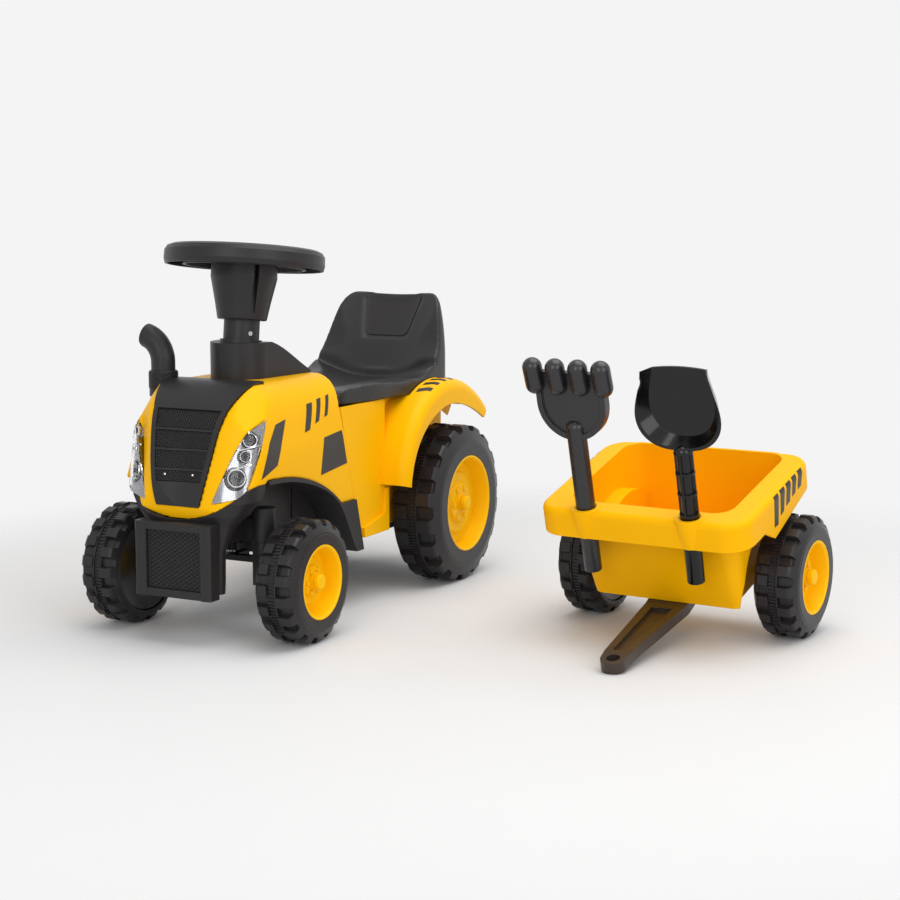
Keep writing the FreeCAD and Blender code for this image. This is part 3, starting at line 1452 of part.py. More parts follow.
def tractor_parts():
    lens, reflector = headlight_parts()
    liner = arch_liner()
    fork = knuckle()
    stub = front_axle()
    cap = at(axle_cap(), front_wheel_face - 1, front_axle_y, front_wheel_radius)
    parts = {
        "chassis_frame": chassis_frame(), "front_apron": front_apron(), "front_weight": front_weight(),
        "hood": hood(), "grille_panel": grille_panel(), "exhaust_base": exhaust_base(),
        "exhaust_pipe": exhaust_pipe(), "steering_cowl": steering_cowl(), "column_bush": column_bush(),
        "rear_body": rear_body(), "seat": seat(), "seat_hinge_bracket": seat_hinge_bracket(),
        "seat_hinge_pin": seat_hinge_pin(), "rear_axle": rear_axle(), "hitch_bracket": hitch_bracket(),
        "hitch_pin": hitch_pin(), "pan_screws": pan_screws(), "tie_rod": tie_rod(),
        "steering_wheel": steering_wheel(), "steering_sleeve": steering_sleeve(),
        "steering_column": steering_column(), "steering_shaft": steering_shaft(),
        "steering_crank": steering_crank(), "column_screw": column_screw(), "horn_button": horn_button(),
        "rear_axle_caps": at(cap_pair(rear_wheel_face), 0, 0, rear_wheel_radius),
    }
    for name, shape in (("arch_liner", liner), ("headlight_lens", lens),
                        ("headlight_reflector", reflector),
                        ("steering_knuckle", fork), ("front_axle", stub), ("front_axle_cap", cap)):
        parts[name + "_left"] = shape
        parts[name + "_right"] = mirrored(shape)
    parts.update(wheel_pair("front", front_wheel_radius, front_tyre_width, front_hub_radius,
                            front_wheel_face,
                            kingpin_x + block_half + swing, front_axle_y, on_tractor))
    parts.update(wheel_pair("rear", rear_wheel_radius, rear_tyre_width, rear_hub_radius, rear_wheel_face,
                            body_waist + swing, 0, on_tractor))
    return parts


def trailer_parts():
    parts = {
        "trailer_tub": trailer_tub(), "trailer_drawbar": trailer_drawbar(), "trailer_axle": trailer_axle(),
        "trailer_axle_caps": cap_pair(trailer_wheel_face), "drawbar_pin": drawbar_pin(),
        "rake": rake(), "shovel": shovel(),
    }
    parts = {name: trailer_placed(shape) for name, shape in parts.items()}
    parts.update(wheel_pair("trailer", front_wheel_radius, front_tyre_width, front_hub_radius,
                            trailer_wheel_face,
                            bed_half + bed_wall + 4 * swing, 0, on_trailer))
    return parts


def build():
    """Every piece of the set, moved so that the origin is under the middle of its box."""
    parts = tractor_parts()
    parts.update(trailer_parts())
    box = FreeCAD.BoundBox()
    for shape in parts.values():
        box.add(shape.optimalBoundingBox(False, False))
    shift = V(-box.Center.x, -box.Center.y, -box.ZMin)
    for shape in parts.values():
        shape.translate(shift)
    return parts, shift


def main():
    os.makedirs("parts", exist_ok=True)
    parts, shift = build()
    for name, shape in parts.items():
        shape.exportStep("parts/" + name + ".step")


if __name__ == "__main__":
    main()
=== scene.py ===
"""Looks of a ride-on toy tractor with its tipping trailer, rake and shovel.

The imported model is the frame. Its solids get their moulded finishes here, the hood and the seat get softer
stand-ins, and the small pieces that the solids leave out, such as the grille's dimpled bands, the lamps'
rings and bars, the tyres' fine ribs and the black films on the panels, are modelled over them.
"""

import json
import math

import bpy
from bpy.props import FloatProperty, FloatVectorProperty, IntProperty, PointerProperty
from mathutils import Matrix, Vector

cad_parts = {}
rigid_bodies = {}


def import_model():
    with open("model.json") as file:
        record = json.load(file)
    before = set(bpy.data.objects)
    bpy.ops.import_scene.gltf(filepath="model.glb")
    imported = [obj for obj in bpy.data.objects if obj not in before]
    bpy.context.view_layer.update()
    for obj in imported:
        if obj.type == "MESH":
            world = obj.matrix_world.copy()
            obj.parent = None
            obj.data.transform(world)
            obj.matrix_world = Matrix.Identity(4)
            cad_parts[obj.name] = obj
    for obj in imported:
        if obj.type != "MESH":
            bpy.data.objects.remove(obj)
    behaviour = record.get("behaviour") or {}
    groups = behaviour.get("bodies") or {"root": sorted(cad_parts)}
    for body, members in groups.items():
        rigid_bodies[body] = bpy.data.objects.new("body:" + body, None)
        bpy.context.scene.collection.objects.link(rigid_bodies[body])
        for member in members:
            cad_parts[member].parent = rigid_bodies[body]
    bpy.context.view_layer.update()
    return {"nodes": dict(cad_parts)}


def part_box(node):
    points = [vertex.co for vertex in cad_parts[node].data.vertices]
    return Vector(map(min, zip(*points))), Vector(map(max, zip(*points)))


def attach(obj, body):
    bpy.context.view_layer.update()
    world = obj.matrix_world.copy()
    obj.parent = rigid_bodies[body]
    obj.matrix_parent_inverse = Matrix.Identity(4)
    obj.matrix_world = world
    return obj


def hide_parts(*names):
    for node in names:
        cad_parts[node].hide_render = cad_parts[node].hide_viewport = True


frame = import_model()

bl_info = {
    "name": "Ride-on toy tractor looks",
    "version": (1, 0, 0),
    "blender": (4, 5, 0),
    "location": "View3D > Sidebar > Toy tractor",
    "description": "Finishes and small pieces of a ride-on toy tractor with its trailer and tools",
    "category": "Object",
}

MM = 0.001
SAME_POINT, ON_PLANE = 1e-6, 1e-4
FACING_UP = 0.9
SMOOTH_SHARE = 0.5

# Largest angle between faces that still shade as one, in degrees
SHADE_FINE, SHADE_CRISP, SHADE_SOFT, SHADE_ROUND = 25.0, 30.0, 40.0, 60.0

# How far from the tractor's or the trailer's middle the drawing planes lie, in millimetres
PLANE_BESIDE, PLANE_AHEAD, PLANE_ABOVE = 300.0, 600.0, 600.0

SIDES = (("left", 1), ("right", -1))

# The tractor's own measures start at the middle of its rear axle, on the floor, and run in millimetres
AXLE_LOW, AXLE_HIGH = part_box("rear_axle")
START = Vector(((AXLE_LOW.x + AXLE_HIGH.x) / 2, (AXLE_LOW.y + AXLE_HIGH.y) / 2, 0.0))
FRONT_AXLE_Y = -384.0
FRONT_RADIUS, FRONT_WIDTH, FRONT_FACE = 70.7, 52.0, 145.0
REAR_RADIUS, REAR_WIDTH, REAR_FACE = 102.5, 65.0, 141.0
TRAILER_FACE = 151.0

# Where the trailer stands and how it leans on its drawbar
TRAILER_AT = Vector((484.5, -98.1, FRONT_RADIUS))
TRAILER_YAW = math.radians(-5.1)
TRAILER_PITCH = math.radians(15.53)


def place(x, y, z):
    """A point given in the tractor's own measures."""
    return START + Vector((x, y, z)) * MM


def tractor_frame():
    """From the tractor's own millimetres to where it stands."""
    return Matrix.Translation(START) @ Matrix.Scale(MM, 4)


def trailer_frame():
    """From the level trailer's millimetres, with its axle's middle as the start, to where it stands."""
    turn = Matrix.Rotation(TRAILER_YAW, 4, "Z") @ Matrix.Rotation(TRAILER_PITCH, 4, "X")
    return tractor_frame() @ Matrix.Translation(TRAILER_AT) @ turn


def film_plane(side, away):
    """A drawing plane beside the tractor or the trailer: across is front to rear, up is up, out is sideways.

    On the right side the plane is the mirror of the left one, so both take the same corners."""
    return Matrix(((0, 0, side, side * away), (1, 0, 0, 0), (0, 1, 0, 0), (0, 0, 0, 1)))


def screen(red, green, blue):
    """A colour as a screen shows it, 0 to 255, as Blender's linear values."""
    shares = [value / 255 for value in (red, green, blue)]
    return tuple(c / 12.92 if c <= 0.04045 else ((c + 0.055) / 1.055) ** 2.4 for c in shares)


def colour(name, description, default):
    """A colour setting."""
    return FloatVectorProperty(name=name, description=description, default=default, subtype="COLOR", size=3,
                               min=0.0, max=1.0)


def length(name, description, millimetres):
    """A length setting, given in millimetres."""
    return FloatProperty(name=name, description=description, default=millimetres * MM, unit="LENGTH", min=0.0)


class TractorColours(bpy.types.PropertyGroup):
    """The plastics' colours."""
    body: colour("Body yellow", "Hood, rear body and fenders", screen(255, 190, 2))
    wheel: colour("Hub yellow", "The wheels' dished hubs", screen(255, 197, 2))
    bed: colour("Bed amber", "The trailer's tub", screen(255, 187, 2))
    panel: colour("Panel black", "Grille, apron, seat and steering pieces", screen(38, 36, 37))
    tyre: colour("Tyre black", "The moulded tyres", screen(33, 31, 33))
    gloss: colour("Shovel black", "The shovel's smooth plastic", screen(10, 9, 10))
    tool: colour("Rake grey", "The rake's dark grey plastic", screen(36, 35, 38))
    drawbar: colour("Drawbar brown", "The drawbar's brownish black", screen(56, 44, 34))
    film: colour("Film black", "The black films on the panels", screen(26, 23, 22))
    lamp_window: colour("Window film", "The dark film behind each headlight", screen(40, 33, 28))


class TractorSizes(bpy.types.PropertyGroup):
    """Sizes of the small pieces."""
    film: length("Film", "Thickness of a film on a panel", 0.3)
    dimple_pitch: length("Dimple pitch", "Across two columns of the grille's dimples", 3.5)
    dimple_rise: length("Dimple rise", "Up two rows of the grille's dimples", 3.9)
    dimple_depth: length("Dimple depth", "How deep a dimple of the grille is", 1.4)
    lattice_width: length("Lattice width", "Width of a diamond on the front weight", 7.4)
    lattice_height: length("Lattice height", "Height of a diamond on the front weight", 4.8)
    front_ribs: IntProperty(name="Front ribs", description="Fine ribs round a small tyre", default=100,
                            min=12)
    rear_ribs: IntProperty(name="Rear ribs", description="Fine ribs round a large tyre", default=146, min=12)
    rib_height: length("Rib height", "How far a tyre's fine rib stands up", 1.5)


class StageSettings(bpy.types.PropertyGroup):
    """Camera, floor and lights."""
    lens: FloatProperty(name="Lens", description="Focal length on a 36 mm frame", default=72.0, unit="CAMERA")
    floor: colour("Floor", "The studio's pale floor", screen(228, 228, 228))
    backdrop: colour("Backdrop", "What the camera sees behind the floor", screen(244, 244, 244))
    key: FloatProperty(name="Key light", description="Power of the large light overhead", default=39.0,
                       unit="POWER", min=0.0)
    fill: FloatProperty(name="Fill light", description="Power of the side lights", default=12.0, unit="POWER",
                        min=0.0)
    sky: FloatProperty(name="Sky", description="Strength of the even light all round", default=0.55, min=0.0)


# Modelling by hand: each step works on one piece

def closed():
    """Go back to object mode."""
    bpy.ops.object.mode_set(mode="OBJECT")


def cleared():
    """Object mode with nothing selected, ready for a new primitive."""
    if bpy.context.mode != "OBJECT":
        closed()
    bpy.ops.object.select_all(action="DESELECT")


def alone(piece):
    """Leave only this piece selected and active, in object mode."""
    cleared()
    piece.select_set(True)
    bpy.context.view_layer.objects.active = piece


def named(name):
    """The primitive just added, with its name."""
    piece = bpy.context.active_object
    piece.name = name
    piece.data.name = name
    return piece


def applied(piece):
    """Put the piece's place into its mesh."""
    alone(piece)
    bpy.ops.object.transform_apply(location=True, rotation=True, scale=True)
    return piece


def choose(piece, test):
    """Go to edit mode with the faces selected whose middle and normal pass the test."""
    alone(piece)
    mesh = piece.data
    mesh.vertices.foreach_set("select", [False] * len(mesh.vertices))
    mesh.edges.foreach_set("select", [False] * len(mesh.edges))
    mesh.polygons.foreach_set("select", [bool(test(face.center, face.normal)) for face in mesh.polygons])
    bpy.context.tool_settings.mesh_select_mode = (False, False, True)
    bpy.ops.object.mode_set(mode="EDIT")


def opened(piece):
    """Go to edit mode with every point selected."""
    alone(piece)
    bpy.context.tool_settings.mesh_select_mode = (True, False, False)
    bpy.ops.object.mode_set(mode="EDIT")
    bpy.ops.mesh.select_all(action="SELECT")


def finish_modifier(piece, kind, **settings):
    """Add a modifier, set it and apply it."""
    alone(piece)
    modifier = piece.modifiers.new(kind.title(), kind)
    for key, value in settings.items():
        setattr(modifier, key, value)
    bpy.ops.object.modifier_apply(modifier=modifier.name)


def faced(piece):
    """Close doubled points and turn every face outwards."""
    opened(piece)
    bpy.ops.mesh.remove_doubles(threshold=SAME_POINT)
    bpy.ops.mesh.normals_make_consistent(inside=False)
    closed()


def stood(piece, matrix):
    """Move the finished mesh to its place, keeping the object itself at the origin."""
    alone(piece)
    piece.matrix_world = matrix
    bpy.context.view_layer.update()
    applied(piece)
    if matrix.determinant() < 0:
        opened(piece)
        bpy.ops.mesh.flip_normals()
        closed()
    return piece


def dressed(piece, body, material, smooth):
    """Give a finished piece its finish, its shading and the body that it moves with."""
    alone(piece)
    bpy.ops.object.shade_smooth_by_angle(angle=math.radians(smooth))
    piece.data.materials.clear()
    piece.data.materials.append(material)
    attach(piece, body)
    return piece


def copied(piece, name):
    """A copy with a mesh of its own."""
    alone(piece)
    bpy.ops.object.duplicate(linked=False)
    return named(name)


def sheet(name, corners, cell_across, cell_up):
    """A flat sheet of small cells, cut to a convex outline given anticlockwise, in millimetres."""
    across = [corner[0] for corner in corners]
    up = [corner[1] for corner in corners]
    wide, tall = max(across) - min(across), max(up) - min(up)
    middle = ((max(across) + min(across)) / 2, (max(up) + min(up)) / 2, 0.0)
    cleared()
    bpy.ops.mesh.primitive_grid_add(x_subdivisions=max(2, round(wide / cell_across)),
                                    y_subdivisions=max(2, round(tall / cell_up)), size=1.0, location=middle)
    piece = named(name)
    piece.scale = (wide, tall, 1.0)
    applied(piece)
    bpy.ops.object.mode_set(mode="EDIT")
    for (x0, y0), (x1, y1) in zip(corners, corners[1:] + corners[:1]):
        outwards = Vector((y1 - y0, x0 - x1, 0.0)).normalized()
        bpy.ops.mesh.select_all(action="SELECT")
        bpy.ops.mesh.bisect(plane_co=(x0, y0, 0), plane_no=outwards, clear_outer=True, threshold=ON_PLANE)
    closed()
    return piece


def laid(piece, plane, target, gap):
    """Set a flat sheet in its drawing plane and press it straight on to a solid or a piece, up to a gap."""
    if isinstance(target, str):
        target = frame["nodes"][target]
    stood(piece, Matrix.Scale(MM, 4))
    plane = plane @ Matrix.Scale(1.0 / MM, 4)
    piece.matrix_world = plane
    bpy.context.view_layer.update()
    finish_modifier(piece, "SHRINKWRAP", target=target, wrap_method="PROJECT", use_project_z=True,
                    use_negative_direction=True, use_positive_direction=False, offset=gap * MM)
    if max(vertex.co.z for vertex in piece.data.vertices) > -MM:
        raise RuntimeError(f"{piece.name} reaches past {target.name}")
    return stood(piece, plane)


def drawn_out(piece, steps):
    """Draw the piece's open rim out in rings, each with its radius and its height along Z."""
    opened(piece)
    for (wide, height), (next_wide, next_height) in zip(steps, steps[1:]):
        rise = (0, 0, next_height - height)
        bpy.ops.mesh.extrude_region_move(TRANSFORM_OT_translate={"value": rise})
        bpy.ops.transform.resize(value=(next_wide / wide, next_wide / wide, 1.0))


def tapered(name, size, top, height=0.0):
    """A bar round a height on the Z axis, with its upper face made smaller."""
    cleared()
    bpy.ops.mesh.primitive_cube_add(size=1.0, location=(0, 0, height))
    piece = named(name)
    piece.scale = size
    applied(piece)
    choose(piece, lambda middle, normal: normal.z > FACING_UP)
    bpy.ops.transform.resize(value=top)
    closed()
    return piece


def thicken(piece, thickness, outwards=1.0):
    """Give a sheet its thickness, outwards or inwards."""
    finish_modifier(piece, "SOLIDIFY", thickness=thickness, offset=outwards)


def softened(node_name, name, voxel, sharp, spread, rounds):
    """Stand in for a solid with a copy whose gentle creases are eased and whose sharp edges stay.

    The sharp edges, over an angle in degrees, stay with the rings of faces next to them."""
    piece = copied(frame["nodes"][node_name], name)
    faced(piece)
    finish_modifier(piece, "REMESH", mode="VOXEL", voxel_size=voxel * MM)
    alone(piece)
    bpy.context.tool_settings.mesh_select_mode = (False, True, False)
    bpy.ops.object.mode_set(mode="EDIT")
    bpy.ops.mesh.select_all(action="DESELECT")
    bpy.ops.mesh.edges_select_sharp(sharpness=math.radians(sharp))
    for _ in range(spread):
        bpy.ops.mesh.select_more()
    bpy.ops.mesh.select_all(action="INVERT")
    bpy.ops.object.vertex_group_assign_new()
    closed()
    group = piece.vertex_groups[0].name
    finish_modifier(piece, "SMOOTH", factor=SMOOTH_SHARE, iterations=rounds, vertex_group=group)
    piece.vertex_groups.clear()
    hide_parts(node_name)
    return piece


# Finishes

def group_tree(name, inputs, outputs):
    """An empty shader node group with its sockets, and its two end nodes."""
    tree = bpy.data.node_groups.new(name, "ShaderNodeTree")
    for socket, kind, default in inputs:
        made = tree.interface.new_socket(socket, in_out="INPUT", socket_type="NodeSocket" + kind)
        made.default_value = default
    for socket, kind in outputs:
        tree.interface.new_socket(socket, in_out="OUTPUT", socket_type="NodeSocket" + kind)
    return tree, tree.nodes.new("NodeGroupInput"), tree.nodes.new("NodeGroupOutput")


def node(tree, kind, values=None, links=None, **settings):
    """Add a node, set its properties and socket values, and link sockets into it."""
    made = tree.nodes.new("ShaderNode" + kind)
    for key, value in settings.items():
        setattr(made, key, value)
    for key, value in (values or {}).items():
        made.inputs[key].default_value = value
    for key, source in (links or {}).items():
        tree.links.new(source, made.inputs[key])
    return made


def moulded_skin():
    """Shared skin of moulded plastic: rounded edges, a fine grain, soft waves, tone and gloss that vary."""
    if "moulded_skin" in bpy.data.node_groups:
        return bpy.data.node_groups["moulded_skin"]
    tree, start, end = group_tree(
        "moulded_skin",
        [("Colour", "Color", (0.5, 0.5, 0.5, 1)), ("Tone change", "Float", 0.05), ("Gloss", "Float", 0.4),
         ("Gloss change", "Float", 0.08), ("Grain scale", "Float", 1200.0), ("Grain height", "Float", 0.1),
         ("Wave height", "Float", 0.1), ("Edge radius", "Float", 0.0008)],
        [("Colour", "Color"), ("Roughness", "Float"), ("Normal", "Vector")])
    spot = node(tree, "TexCoord").outputs["Object"]
    grain = node(tree, "TexNoise", {"Detail": 2.0, "Roughness": 0.6},
                 {"Vector": spot, "Scale": start.outputs["Grain scale"]})
    wave = node(tree, "TexNoise", {"Scale": 55.0, "Detail": 1.0}, {"Vector": spot})
    cloud = node(tree, "TexNoise", {"Scale": 14.0, "Detail": 3.0}, {"Vector": spot})
    shift = node(tree, "Math", {1: 0.5}, {0: cloud.outputs["Fac"]}, operation="SUBTRACT")
    tone = node(tree, "Math", {2: 1.0}, {0: shift.outputs[0], 1: start.outputs["Tone change"]},
                operation="MULTIPLY_ADD")
    shade = node(tree, "VectorMath", None, {0: start.outputs["Colour"], "Scale": tone.outputs[0]},
                 operation="SCALE")
    mottle = node(tree, "Math", {1: 0.5}, {0: wave.outputs["Fac"]}, operation="SUBTRACT")
    both = node(tree, "Math", None, {0: mottle.outputs[0], 1: shift.outputs[0]}, operation="ADD")
    gloss = node(tree, "Math", None, {0: both.outputs[0], 1: start.outputs["Gloss change"],
                                      2: start.outputs["Gloss"]}, operation="MULTIPLY_ADD", use_clamp=True)
    soft = node(tree, "Bevel", None, {"Radius": start.outputs["Edge radius"]}, samples=6)
    waves = node(tree, "Bump", {"Distance": 0.004},
                 {"Strength": start.outputs["Wave height"], "Height": wave.outputs["Fac"],
                  "Normal": soft.outputs["Normal"]})
    grains = node(tree, "Bump", {"Distance": 0.0004},
                  {"Strength": start.outputs["Grain height"], "Height": grain.outputs["Fac"],
                   "Normal": waves.outputs["Normal"]})
    tree.links.new(shade.outputs["Vector"], end.inputs["Colour"])
    tree.links.new(gloss.outputs[0], end.inputs["Roughness"])
    tree.links.new(grains.outputs["Normal"], end.inputs["Normal"])
    return tree


def blank_material(name):
    """A new material with a Principled shader, and the shader."""
    material = bpy.data.materials.new(name)
    material.use_nodes = True
    return material, material.node_tree.nodes["Principled BSDF"]


def moulded(name, tint, skin, specular):
    """A moulded plastic: the shared skin with its own values, and the shader's own constant."""
    if name in bpy.data.materials:
        return bpy.data.materials[name]
    material, shader = blank_material(name)
    tree = material.node_tree
    group = tree.nodes.new("ShaderNodeGroup")
    group.node_tree = moulded_skin()
    group.inputs["Colour"].default_value = (*tint, 1.0)
    for key, value in skin.items():
        group.inputs[key].default_value = value
    shader.inputs["Specular IOR Level"].default_value = specular
    tree.links.new(group.outputs["Colour"], shader.inputs["Base Color"])
    tree.links.new(group.outputs["Roughness"], shader.inputs["Roughness"])
    tree.links.new(group.outputs["Normal"], shader.inputs["Normal"])
    return material


def finish(kind):
    """The material of a named finish, made the first time that it is asked for."""
    colours = bpy.context.scene.tractor_colours
    smooth = {"Grain scale": 700.0, "Grain height": 0.03, "Wave height": 0.012, "Gloss change": 0.10}
    grained = {"Grain scale": 1500.0, "Grain height": 0.22, "Wave height": 0.010, "Gloss change": 0.10}
    # Colour, skin, gloss and specular level
    table = {
        "body": (colours.body, smooth, 0.36, 0.10),
        "wheel": (colours.wheel, smooth, 0.42, 0.12),
        "bed": (colours.bed, smooth, 0.40, 0.08),
        "panel": (colours.panel, grained, 0.40, 0.30),
        "seat": (colours.panel, grained, 0.33, 0.35),
        "tyre": (colours.tyre, dict(grained, **{"Grain height": 0.10}), 0.36, 0.35),
        "gloss": (colours.gloss, dict(smooth, **{"Gloss change": 0.05}), 0.14, 0.38),
        "tool": (colours.tool, smooth, 0.27, 0.5),
        "drawbar": (colours.drawbar, grained, 0.40, 0.45),
        "film": (colours.film, smooth, 0.34, 0.45),
        "window": (colours.lamp_window, smooth, 0.30, 0.5),
    }
    tint, skin, gloss, specular = table[kind]
    return moulded("moulded_" + kind, tuple(tint), dict(skin, Gloss=gloss), specular)


def varied(tree, shader, texture, gloss, spread, strength, distance):
    """Let a texture vary the shader's gloss by a share and raise a faint relief."""
    limits = {"To Min": gloss * (1 - spread), "To Max": gloss * (1 + spread)}
    rough = node(tree, "MapRange", limits, {"Value": texture.outputs["Fac"]})
    relief = {"Strength": strength, "Distance": distance}
    bump = node(tree, "Bump", relief, {"Height": texture.outputs["Fac"]})
    tree.links.new(rough.outputs["Result"], shader.inputs["Roughness"])
    tree.links.new(bump.outputs["Normal"], shader.inputs["Normal"])


def brushed(name, tint, gloss):
    """Bright metal with fine drawn lines."""
    if name in bpy.data.materials:
        return bpy.data.materials[name]
    material, shader = blank_material(name)
    tree = material.node_tree
    shader.inputs["Base Color"].default_value = (*tint, 1.0)
    shader.inputs["Metallic"].default_value = 1.0
    spot = node(tree, "TexCoord").outputs["Object"]
    line = node(tree, "TexNoise", {"Scale": 400.0, "Detail": 2.0}, {"Vector": spot})
    varied(tree, shader, line, gloss, spread=0.3, strength=0.03, distance=0.0003)
    return material


def clear_plastic(name, gloss):
    """Clear polished plastic with faint moulding waves."""
    if name in bpy.data.materials:
        return bpy.data.materials[name]
    material, shader = blank_material(name)
    tree = material.node_tree
    for key, value in {"Base Color": (1.0, 1.0, 1.0, 1.0), "Transmission Weight": 1.0, "IOR": 1.35}.items():
        shader.inputs[key].default_value = value
    spot = node(tree, "TexCoord").outputs["Object"]
    wave = node(tree, "TexNoise", {"Scale": 120.0, "Detail": 1.0}, {"Vector": spot})
    varied(tree, shader, wave, gloss, spread=0.5, strength=0.02, distance=0.001)
    return material


# The solids' own finishes

def paired(*names):
    """The names of left and right nodes."""
    return [f"{name}_{side}" for name in names for side, _ in SIDES]


NODE_FINISHES = {
    "body": ["hood", "rear_body"],
    "wheel": paired("front_hub", "rear_hub", "trailer_hub", "front_axle_cap")
             + ["rear_axle_caps", "trailer_axle_caps"],
    "bed": ["trailer_tub"],
    "tyre": paired("front_tyre", "rear_tyre", "trailer_tyre"),
    "gloss": ["shovel"],
    "tool": ["rake"],
    "drawbar": ["trailer_drawbar", "trailer_axle"],
}
STEEL_NODES = paired("front_axle") + ["rear_axle", "seat_hinge_pin", "pan_screws", "column_screw",
                                      "steering_shaft", "drawbar_pin"]
STEEL, STEEL_GLOSS = screen(190, 190, 188), 0.32
# The reflector's grey is partly the metal's own and partly painted shade and dark reflection, dimmer than
# bright chrome
MIRROR_AND_PAINTED_SHADE, MIRROR_GLOSS = screen(150, 151, 155), 0.16
LENS_GLOSS = 0.03


class TRACTOR_OT_finishes(bpy.types.Operator):
    """Give every solid its moulded plastic, clear lens, bright reflector or steel"""
    bl_idname = "tractor.finishes"
    bl_label = "Finish the solids"

    def execute(self, context):
        chosen = {name: finish(kind) for kind, names in NODE_FINISHES.items() for name in names}
        for name in STEEL_NODES:
            chosen[name] = brushed("drawn_wire", STEEL, STEEL_GLOSS)
        for side, _ in SIDES:
            chosen["headlight_lens_" + side] = clear_plastic("lamp_lens", LENS_GLOSS)
            # The reflector's dimmed grey holds painted shade and dark reflection
            chosen["headlight_reflector_" + side] = brushed("lamp_mirror_painted_shade", MIRROR_AND_PAINTED_SHADE, MIRROR_GLOSS)
        for name, solid in frame["nodes"].items():
            solid.data.materials.clear()
            solid.data.materials.append(chosen.get(name) or finish("panel"))
        return {"FINISHED"}


# The hood: the solid's form with a brow that flows, where the solid has gentle creases

HOOD_VOXEL, HOOD_SHARP, HOOD_KEPT_RINGS, HOOD_ROUNDS = 1.5, 42.0, 3, 60


class TRACTOR_OT_hood(bpy.types.Operator):
    """Stand in for the hood's solid with a copy whose gentle creases flow"""
    bl_idname = "tractor.hood"
    bl_label = "Moulded hood"

    def execute(self, context):
        hood = softened("hood", "moulded_hood", HOOD_VOXEL, HOOD_SHARP, HOOD_KEPT_RINGS, HOOD_ROUNDS)
        dressed(hood, "tractor", finish("body"), SHADE_ROUND)
        return {"FINISHED"}


# Films on the panels: outlines seen from the left, front to rear and up, in millimetres

VENTS = (
    [(-321.0, 229.8), (-309.1, 232.0), (-299.5, 263.0), (-312.1, 262.1)],
    [(-296.7, 237.8), (-288.0, 240.1), (-278.7, 266.4), (-287.9, 265.4)],
    [(-275.5, 243.0), (-268.2, 244.8), (-259.1, 268.6), (-266.5, 267.4)],
)
LAMP_WINDOW = [(-416.5, 187.8), (-383.0, 199.5), (-361.5, 249.8), (-383.2, 246.0), (-397.9, 226.3)]
SIDE_PLATE = [(-287.3, 175.3), (-225.3, 182.0), (-236.6, 223.3), (-278.4, 219.1)]
TRAILER_STRIPES = (
    [(-53.0, 84.5), (-42.5, 84.0), (-35.0, 118.5), (-47.5, 118.5)],
    [(-34.0, 91.0), (-24.5, 92.5), (-16.5, 118.8), (-29.5, 118.8)],
    [(-17.0, 95.0), (-6.0, 96.5), (1.5, 119.0), (-11.0, 119.0)],
    [(1.5, 98.5), (11.0, 99.5), (18.5, 119.2), (6.5, 119.2)],
    [(18.5, 100.0), (28.5, 101.0), (36.5, 119.4), (24.5, 119.4)],
)
FENDER_STRIPE_STARTS = (-70.0, -51.0, -32.0, -13.0)
FENDER_STRIPE_INNER, FENDER_STRIPE_OUTER = 99.0, 116.5
FENDER_STRIPE_WIDTH, FENDER_STRIPE_SLANT = 8.5, 7.0
FILM_CELL, FILM_GAP = 2.0, 0.08


def side_film(name, corners, side, base, panel, body, kind):
    """A film on the left or right face of a panel, laid sideways on to it."""
    piece = sheet(name, corners, FILM_CELL, FILM_CELL)
    laid(piece, base @ film_plane(side, PLANE_BESIDE), panel, FILM_GAP)
    thicken(piece, bpy.context.scene.tractor_sizes.film)
    return dressed(piece, body, finish(kind), SHADE_CRISP)


def fender_stripe(name, start, side):
    """A slanting stripe on a fender, laid on to it from above."""
    inner, outer, end = FENDER_STRIPE_INNER, FENDER_STRIPE_OUTER, start + FENDER_STRIPE_SLANT
    corners = [(inner, start), (outer, end), (outer, end + FENDER_STRIPE_WIDTH),
               (inner, start + FENDER_STRIPE_WIDTH)]
    piece = sheet(name, corners, FILM_CELL, FILM_CELL)
    above = Matrix.Diagonal((side, 1, 1, 1)) @ Matrix.Translation((0, 0, PLANE_ABOVE))
    laid(piece, tractor_frame() @ above, "rear_body", FILM_GAP)
    thicken(piece, bpy.context.scene.tractor_sizes.film)
    dressed(piece, "tractor", finish("film"), SHADE_CRISP)


class TRACTOR_OT_hood_films(bpy.types.Operator):
    """Lay the dark window, the three vent bars and the plain plate on each side of the hood"""
    bl_idname = "tractor.hood_films"
    bl_label = "Hood films"

    def execute(self, context):
        hood = bpy.data.objects["moulded_hood"]
        base = tractor_frame()
        for word, side in SIDES:
            for number, corners in enumerate(VENTS, 1):
                side_film(f"hood_vent_{number}_{word}", corners, side, base, hood, "tractor", "film")
            side_film("hood_window_" + word, LAMP_WINDOW, side, base, hood, "tractor", "window")
            side_film("hood_plate_" + word, SIDE_PLATE, side, base, hood, "tractor", "film")
        return {"FINISHED"}


class TRACTOR_OT_stripes(bpy.types.Operator):
    """Lay the short black stripes on the fenders and along the trailer's side flanges"""
    bl_idname = "tractor.stripes"
    bl_label = "Fender and trailer stripes"

    def execute(self, context):
        for word, side in SIDES:
            for number, start in enumerate(FENDER_STRIPE_STARTS, 1):
                fender_stripe(f"fender_stripe_{number}_{word}", start, side)
            for number, corners in enumerate(TRAILER_STRIPES, 1):
                side_film(f"trailer_stripe_{number}_{word}", corners, side, trailer_frame(), "trailer_tub",
                          "trailer_bed", "film")
        return {"FINISHED"}


# Dimpled bands of the grille, the weight's lattice and the exhaust's dimpled sleeve

